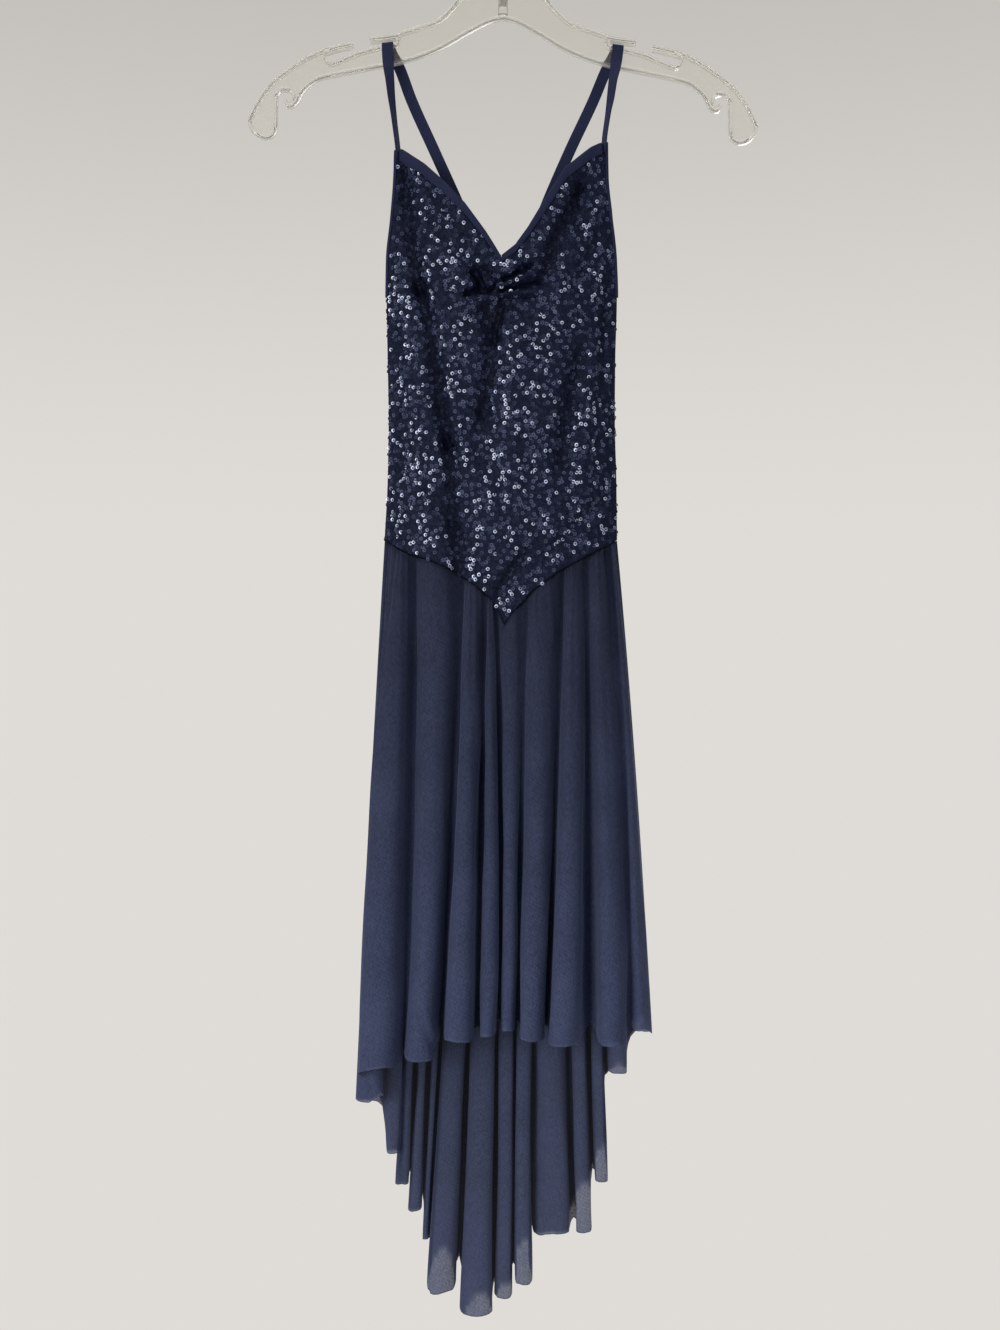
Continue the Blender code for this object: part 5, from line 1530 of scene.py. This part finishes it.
class DressSizes(bpy.types.PropertyGroup):
    """Sizes of the fine pieces."""

    skirt_cloth: FloatProperty(name="Skirt cloth", description="Thickness of the skirt's mesh",
                               default=0.0005, unit="LENGTH")
    bodice_cloth: FloatProperty(name="Bodice cloth", description="Thickness of the bodice's mesh",
                                default=0.0008, unit="LENGTH")
    binding_cloth: FloatProperty(name="Binding", description="Thickness of the folded binding",
                                 default=0.0009, unit="LENGTH")
    strap_width: FloatProperty(name="Strap width", description="Width across a strap",
                               default=0.0094, unit="LENGTH")
    strap_cloth: FloatProperty(name="Strap cloth", description="Thickness of a strap",
                               default=0.001, unit="LENGTH")
    sequin_radius: FloatProperty(name="Sequin radius", description="Outer radius of a sequin",
                                 default=0.0016, unit="LENGTH")
    sequin_spacing: FloatProperty(name="Sequin spacing", description="Least distance apart",
                                  default=0.00275, unit="LENGTH")
    sequin_tilt: FloatProperty(name="Sequin tilt", description="Largest lean of a sequin",
                               default=0.30, unit="ROTATION")
    skirt_rows: IntProperty(name="Skirt rows", description="Rows of points down the skirt",
                            default=92)


class DressColours(bpy.types.PropertyGroup):
    """Colours of the materials."""

    skirt: FloatVectorProperty(name="Skirt", description="Skirt mesh", subtype="COLOR",
                               default=(0.0475, 0.0605, 0.124))
    skirt_cover: FloatProperty(name="Skirt cover", description="Cover of one face of the mesh",
                               default=0.96, min=0.0, max=1.0)
    hem_cover: FloatProperty(name="Hem cover", description="Cover of one face at the raw hem",
                             default=0.70, min=0.0, max=1.0)
    bodice: FloatVectorProperty(name="Bodice", description="Mesh under the sequins",
                                subtype="COLOR", default=(0.0105, 0.0145, 0.036))
    binding: FloatVectorProperty(name="Binding", description="Bindings and straps",
                                 subtype="COLOR", default=(0.0165, 0.0205, 0.053))
    sequin: FloatVectorProperty(name="Sequin", description="Sequins away from a glint",
                                subtype="COLOR", default=(0.0062, 0.0088, 0.028))
    hanger: FloatVectorProperty(name="Hanger", description="Tint of the clear plastic",
                                subtype="COLOR", default=(0.985, 0.975, 0.93))


class DRESS_OT_hanger(bpy.types.Operator):
    """Build the clear hanger and its hook"""

    bl_idname = "dress.hanger"
    bl_label = "Hanger"

    def execute(self, context):
        finish_piece(hanger_frame(material("clear_plastic_look")), "clear_plastic",
                     "hanger_frame")
        finish_piece(hook(material("chrome_look")), "chrome_wire", "hanger_hook")
        return {"FINISHED"}


class DRESS_OT_straps(bpy.types.Operator):
    """Build the two straps"""

    bl_idname = "dress.straps"
    bl_label = "Straps"

    def execute(self, context):
        sizes = context.scene.dress_sizes
        for name, path, hand in (("strap_cloth_left", STRAP_LEFT, -1),
                                 ("strap_cloth_right", STRAP_RIGHT, 1)):
            obj = strap(name, path, hand, sizes.strap_width * 1000, sizes.strap_cloth * 1000,
                        material("binding"))
            finish_piece(obj, "navy_binding", "strap_left" if hand < 0 else "strap_right")
        return {"FINISHED"}


class DRESS_OT_bodice(bpy.types.Operator):
    """Build the front and back bodice panels"""

    bl_idname = "dress.bodice"
    bl_label = "Bodice"

    def execute(self, context):
        thick = context.scene.dress_sizes.bodice_cloth * 1000
        front = bodice_panel("bodice_front_cloth", -1, NECK_EDGE, FRONT_SEAM, NECK_DROPS,
                             FRONT_GRID, thick, material("bodice_mesh"))
        finish_piece(front, "sequin_mesh", "front_bodice")
        back = bodice_panel("bodice_back_cloth", 1, BACK_EDGE, BACK_SEAM, BACK_DROPS,
                            BACK_GRID, thick, material("bodice_mesh"))
        finish_piece(back, "sequin_mesh", "back_bodice")
        return {"FINISHED"}


class DRESS_OT_bindings(bpy.types.Operator):
    """Build the bindings of the neck, armholes and back"""

    bl_idname = "dress.bindings"
    bl_label = "Bindings"

    def execute(self, context):
        thick = context.scene.dress_sizes.binding_cloth * 1000
        mat = material("binding")
        left = np.linspace(*NECK_SPAN, NECK_POINTS)
        back = np.linspace(-HEADING_REACH, HEADING_REACH, BACK_POINTS)
        for make, name, node, *values in (
                (edge_binding, "binding_neck_left", "neck_binding_left",
                 -1, NECK_EDGE, NECK_DROPS, left),
                (edge_binding, "binding_neck_right", "neck_binding_right",
                 -1, NECK_EDGE, NECK_DROPS, -left[::-1]),
                (armhole_binding, "binding_arm_left", "armhole_binding_left", -1,
                 ARMHOLE_TOPS[0]),
                (armhole_binding, "binding_arm_right", "armhole_binding_right", 1,
                 ARMHOLE_TOPS[1]),
                (edge_binding, "binding_back", "back_binding", 1, BACK_EDGE, BACK_DROPS, back)):
            finish_piece(make(name, *values, thick, mat), "navy_binding", node)
        return {"FINISHED"}


class DRESS_OT_skirt(bpy.types.Operator):
    """Build the front and back skirt panels"""

    bl_idname = "dress.skirt"
    bl_label = "Skirt"

    def execute(self, context):
        sizes = context.scene.dress_sizes
        thick = sizes.skirt_cloth * 1000
        front = skirt_panel("skirt_front_cloth", FRONT_FOLDS, FRONT_SEAM, -1,
                            sizes.skirt_rows, thick, 21, material("skirt_mesh"))
        finish_piece(front, "navy_mesh", "front_skirt")
        back = skirt_panel("skirt_back_cloth", BACK_FOLDS, BACK_SEAM, 1,
                           sizes.skirt_rows, thick, 41, material("skirt_mesh"))
        finish_piece(back, "navy_mesh", "back_skirt")
        return {"FINISHED"}


class DRESS_OT_sequins(bpy.types.Operator):
    """Sew the sequins over the bodice"""

    bl_idname = "dress.sequins"
    bl_label = "Sequins"

    def execute(self, context):
        thick = context.scene.dress_sizes.bodice_cloth * 1000
        for name, side, top, bottom, drops, seed in (
                ("sequins_front", -1, NECK_EDGE, FRONT_SEAM, NECK_DROPS, 7),
                ("sequins_back", 1, BACK_EDGE, BACK_SEAM, BACK_DROPS, 11)):
            obj = sequin_field(name, side, top, bottom, drops, thick, seed)
            if len(obj.data.polygons) < FEWEST_FACES:
                raise RuntimeError(f"{name} holds too few sequins")
            finish_piece(obj, "sequin_mesh")
        return {"FINISHED"}


class DRESS_OT_stitches(bpy.types.Operator):
    """Sew the rows of stitches on the bindings"""

    bl_idname = "dress.stitches"
    bl_label = "Stitches"

    def execute(self, context):
        far = BINDING_INSIDE + context.scene.dress_sizes.binding_cloth * 1000 + STITCH_LIFT
        for tag, side, edge, drops, s in (
                ("neck_left", -1, NECK_EDGE, NECK_DROPS, np.linspace(-0.94, -0.02, 80)),
                ("neck_right", -1, NECK_EDGE, NECK_DROPS, np.linspace(0.02, 0.94, 80)),
                ("back", 1, BACK_EDGE, BACK_DROPS, np.linspace(-0.97, 0.97, 120))):
            z_edge, z_low = bodice_levels(edge, s, side, drops)
            z = z_edge + (z_low - z_edge) * STITCH_DROP
            points = bodice_point(s, z, side) + bodice_normal(s, z, side) * far
            obj = stitch_line(f"stitches_{tag}", points, material("thread"))
            finish_piece(obj, "navy_binding")
        return {"FINISHED"}


def soft_room():
    """A plain pale wall behind, a dimmer room in front and at the sides."""
    world = bpy.data.worlds.new("soft_room")
    world.use_nodes = True
    tree = world.node_tree
    where = add_node(tree, "ShaderNodeTexCoord")
    split = add_node(tree, "ShaderNodeSeparateXYZ")
    wall = range_node(tree, 0.45, 0.85, interpolation_type="SMOOTHSTEP")
    high = range_node(tree, 0.05, 0.60, interpolation_type="SMOOTHSTEP")
    plain = mix_node(tree, in_6=LOW_WALL, in_7=HIGH_WALL)
    both = mix_node(tree, in_6=ROOM)
    wire(tree, (where, "Generated", split, 0), (split, "Y", wall, 0), (split, "Z", high, 0),
         (high, 0, plain, 0), (wall, 0, both, 0), (plain, 2, both, 7),
         (both, 2, tree.nodes["Background"], "Color"))
    return world


class DRESS_OT_stage(bpy.types.Operator):
    """Set the floor, the lights and the camera"""

    bl_idname = "dress.stage"
    bl_label = "Stage"

    def execute(self, context):
        scene = context.scene
        floor = mesh_object("floor", [(x, y, FLOOR_Z) for x, y in FLOOR], [], [(0, 1, 2, 3)])
        mat, _, shader = new_material("floor_paint")
        set_inputs(shader, {"Base Color": FLOOR_PAINT, "Roughness": 0.9})
        floor.data.materials.append(mat)
        scene.world = soft_room()
        for name, place, size, power, tint in LAMPS:
            light = bpy.data.lights.new(name, "AREA")
            light.size = size
            light.energy = power
            light.color = tint
            lamp = bpy.data.objects.new(name, light)
            lamp.location = place
            lamp.visible_camera = False
            lamp.visible_transmission = False
            aim = np.array(LAMP_AIM) - np.array(place)
            lamp.rotation_euler = (math.atan2(math.hypot(aim[0], aim[1]), -aim[2]), 0.0,
                                   math.atan2(aim[1], aim[0]) - math.pi / 2)
            scene.collection.objects.link(lamp)
        scene.view_settings.view_transform = "Standard"
        lens = bpy.data.cameras.new("front_view")
        lens.lens = SENSOR * CAMERA_DISTANCE / (PHOTO_HEIGHT * PIXEL)
        lens.sensor_width = SENSOR
        lens.clip_start = 0.05
        camera = bpy.data.objects.new("front_view", lens)
        camera.location = (CAMERA_X * MM, -CAMERA_DISTANCE * MM, CAMERA_Z * MM)
        camera.rotation_euler = (math.pi / 2, 0.0, 0.0)
        scene.collection.objects.link(camera)
        scene.camera = camera
        return {"FINISHED"}


STEPS = (DRESS_OT_hanger, DRESS_OT_straps, DRESS_OT_bodice, DRESS_OT_bindings, DRESS_OT_skirt,
         DRESS_OT_sequins, DRESS_OT_stitches, DRESS_OT_stage)


class DRESS_PT_panel(bpy.types.Panel):
    """Sidebar panel with the dress's steps, sizes and colours"""

    bl_idname = "DRESS_PT_panel"
    bl_label = "Dress"
    bl_space_type = "VIEW_3D"
    bl_region_type = "UI"
    bl_category = "Dress"

    def draw(self, context):
        for step in STEPS:
            self.layout.operator(step.bl_idname)
        for group in (context.scene.dress_sizes, context.scene.dress_colours):
            for key in group.bl_rna.properties.keys():
                if key not in {"rna_type", "name"}:
                    self.layout.prop(group, key)


CLASSES = (DressSizes, DressColours) + STEPS + (DRESS_PT_panel,)


def register():
    for item in CLASSES:
        bpy.utils.register_class(item)
    bpy.types.Scene.dress_sizes = PointerProperty(type=DressSizes)
    bpy.types.Scene.dress_colours = PointerProperty(type=DressColours)


def unregister():
    del bpy.types.Scene.dress_colours
    del bpy.types.Scene.dress_sizes
    for item in reversed(CLASSES):
        bpy.utils.unregister_class(item)


def main():
    """Builds every piece."""
    register()
    for step in STEPS:
        area, action = step.bl_idname.split(".")
        getattr(getattr(bpy.ops, area), action)()


if __name__ == "__main__":
    main()
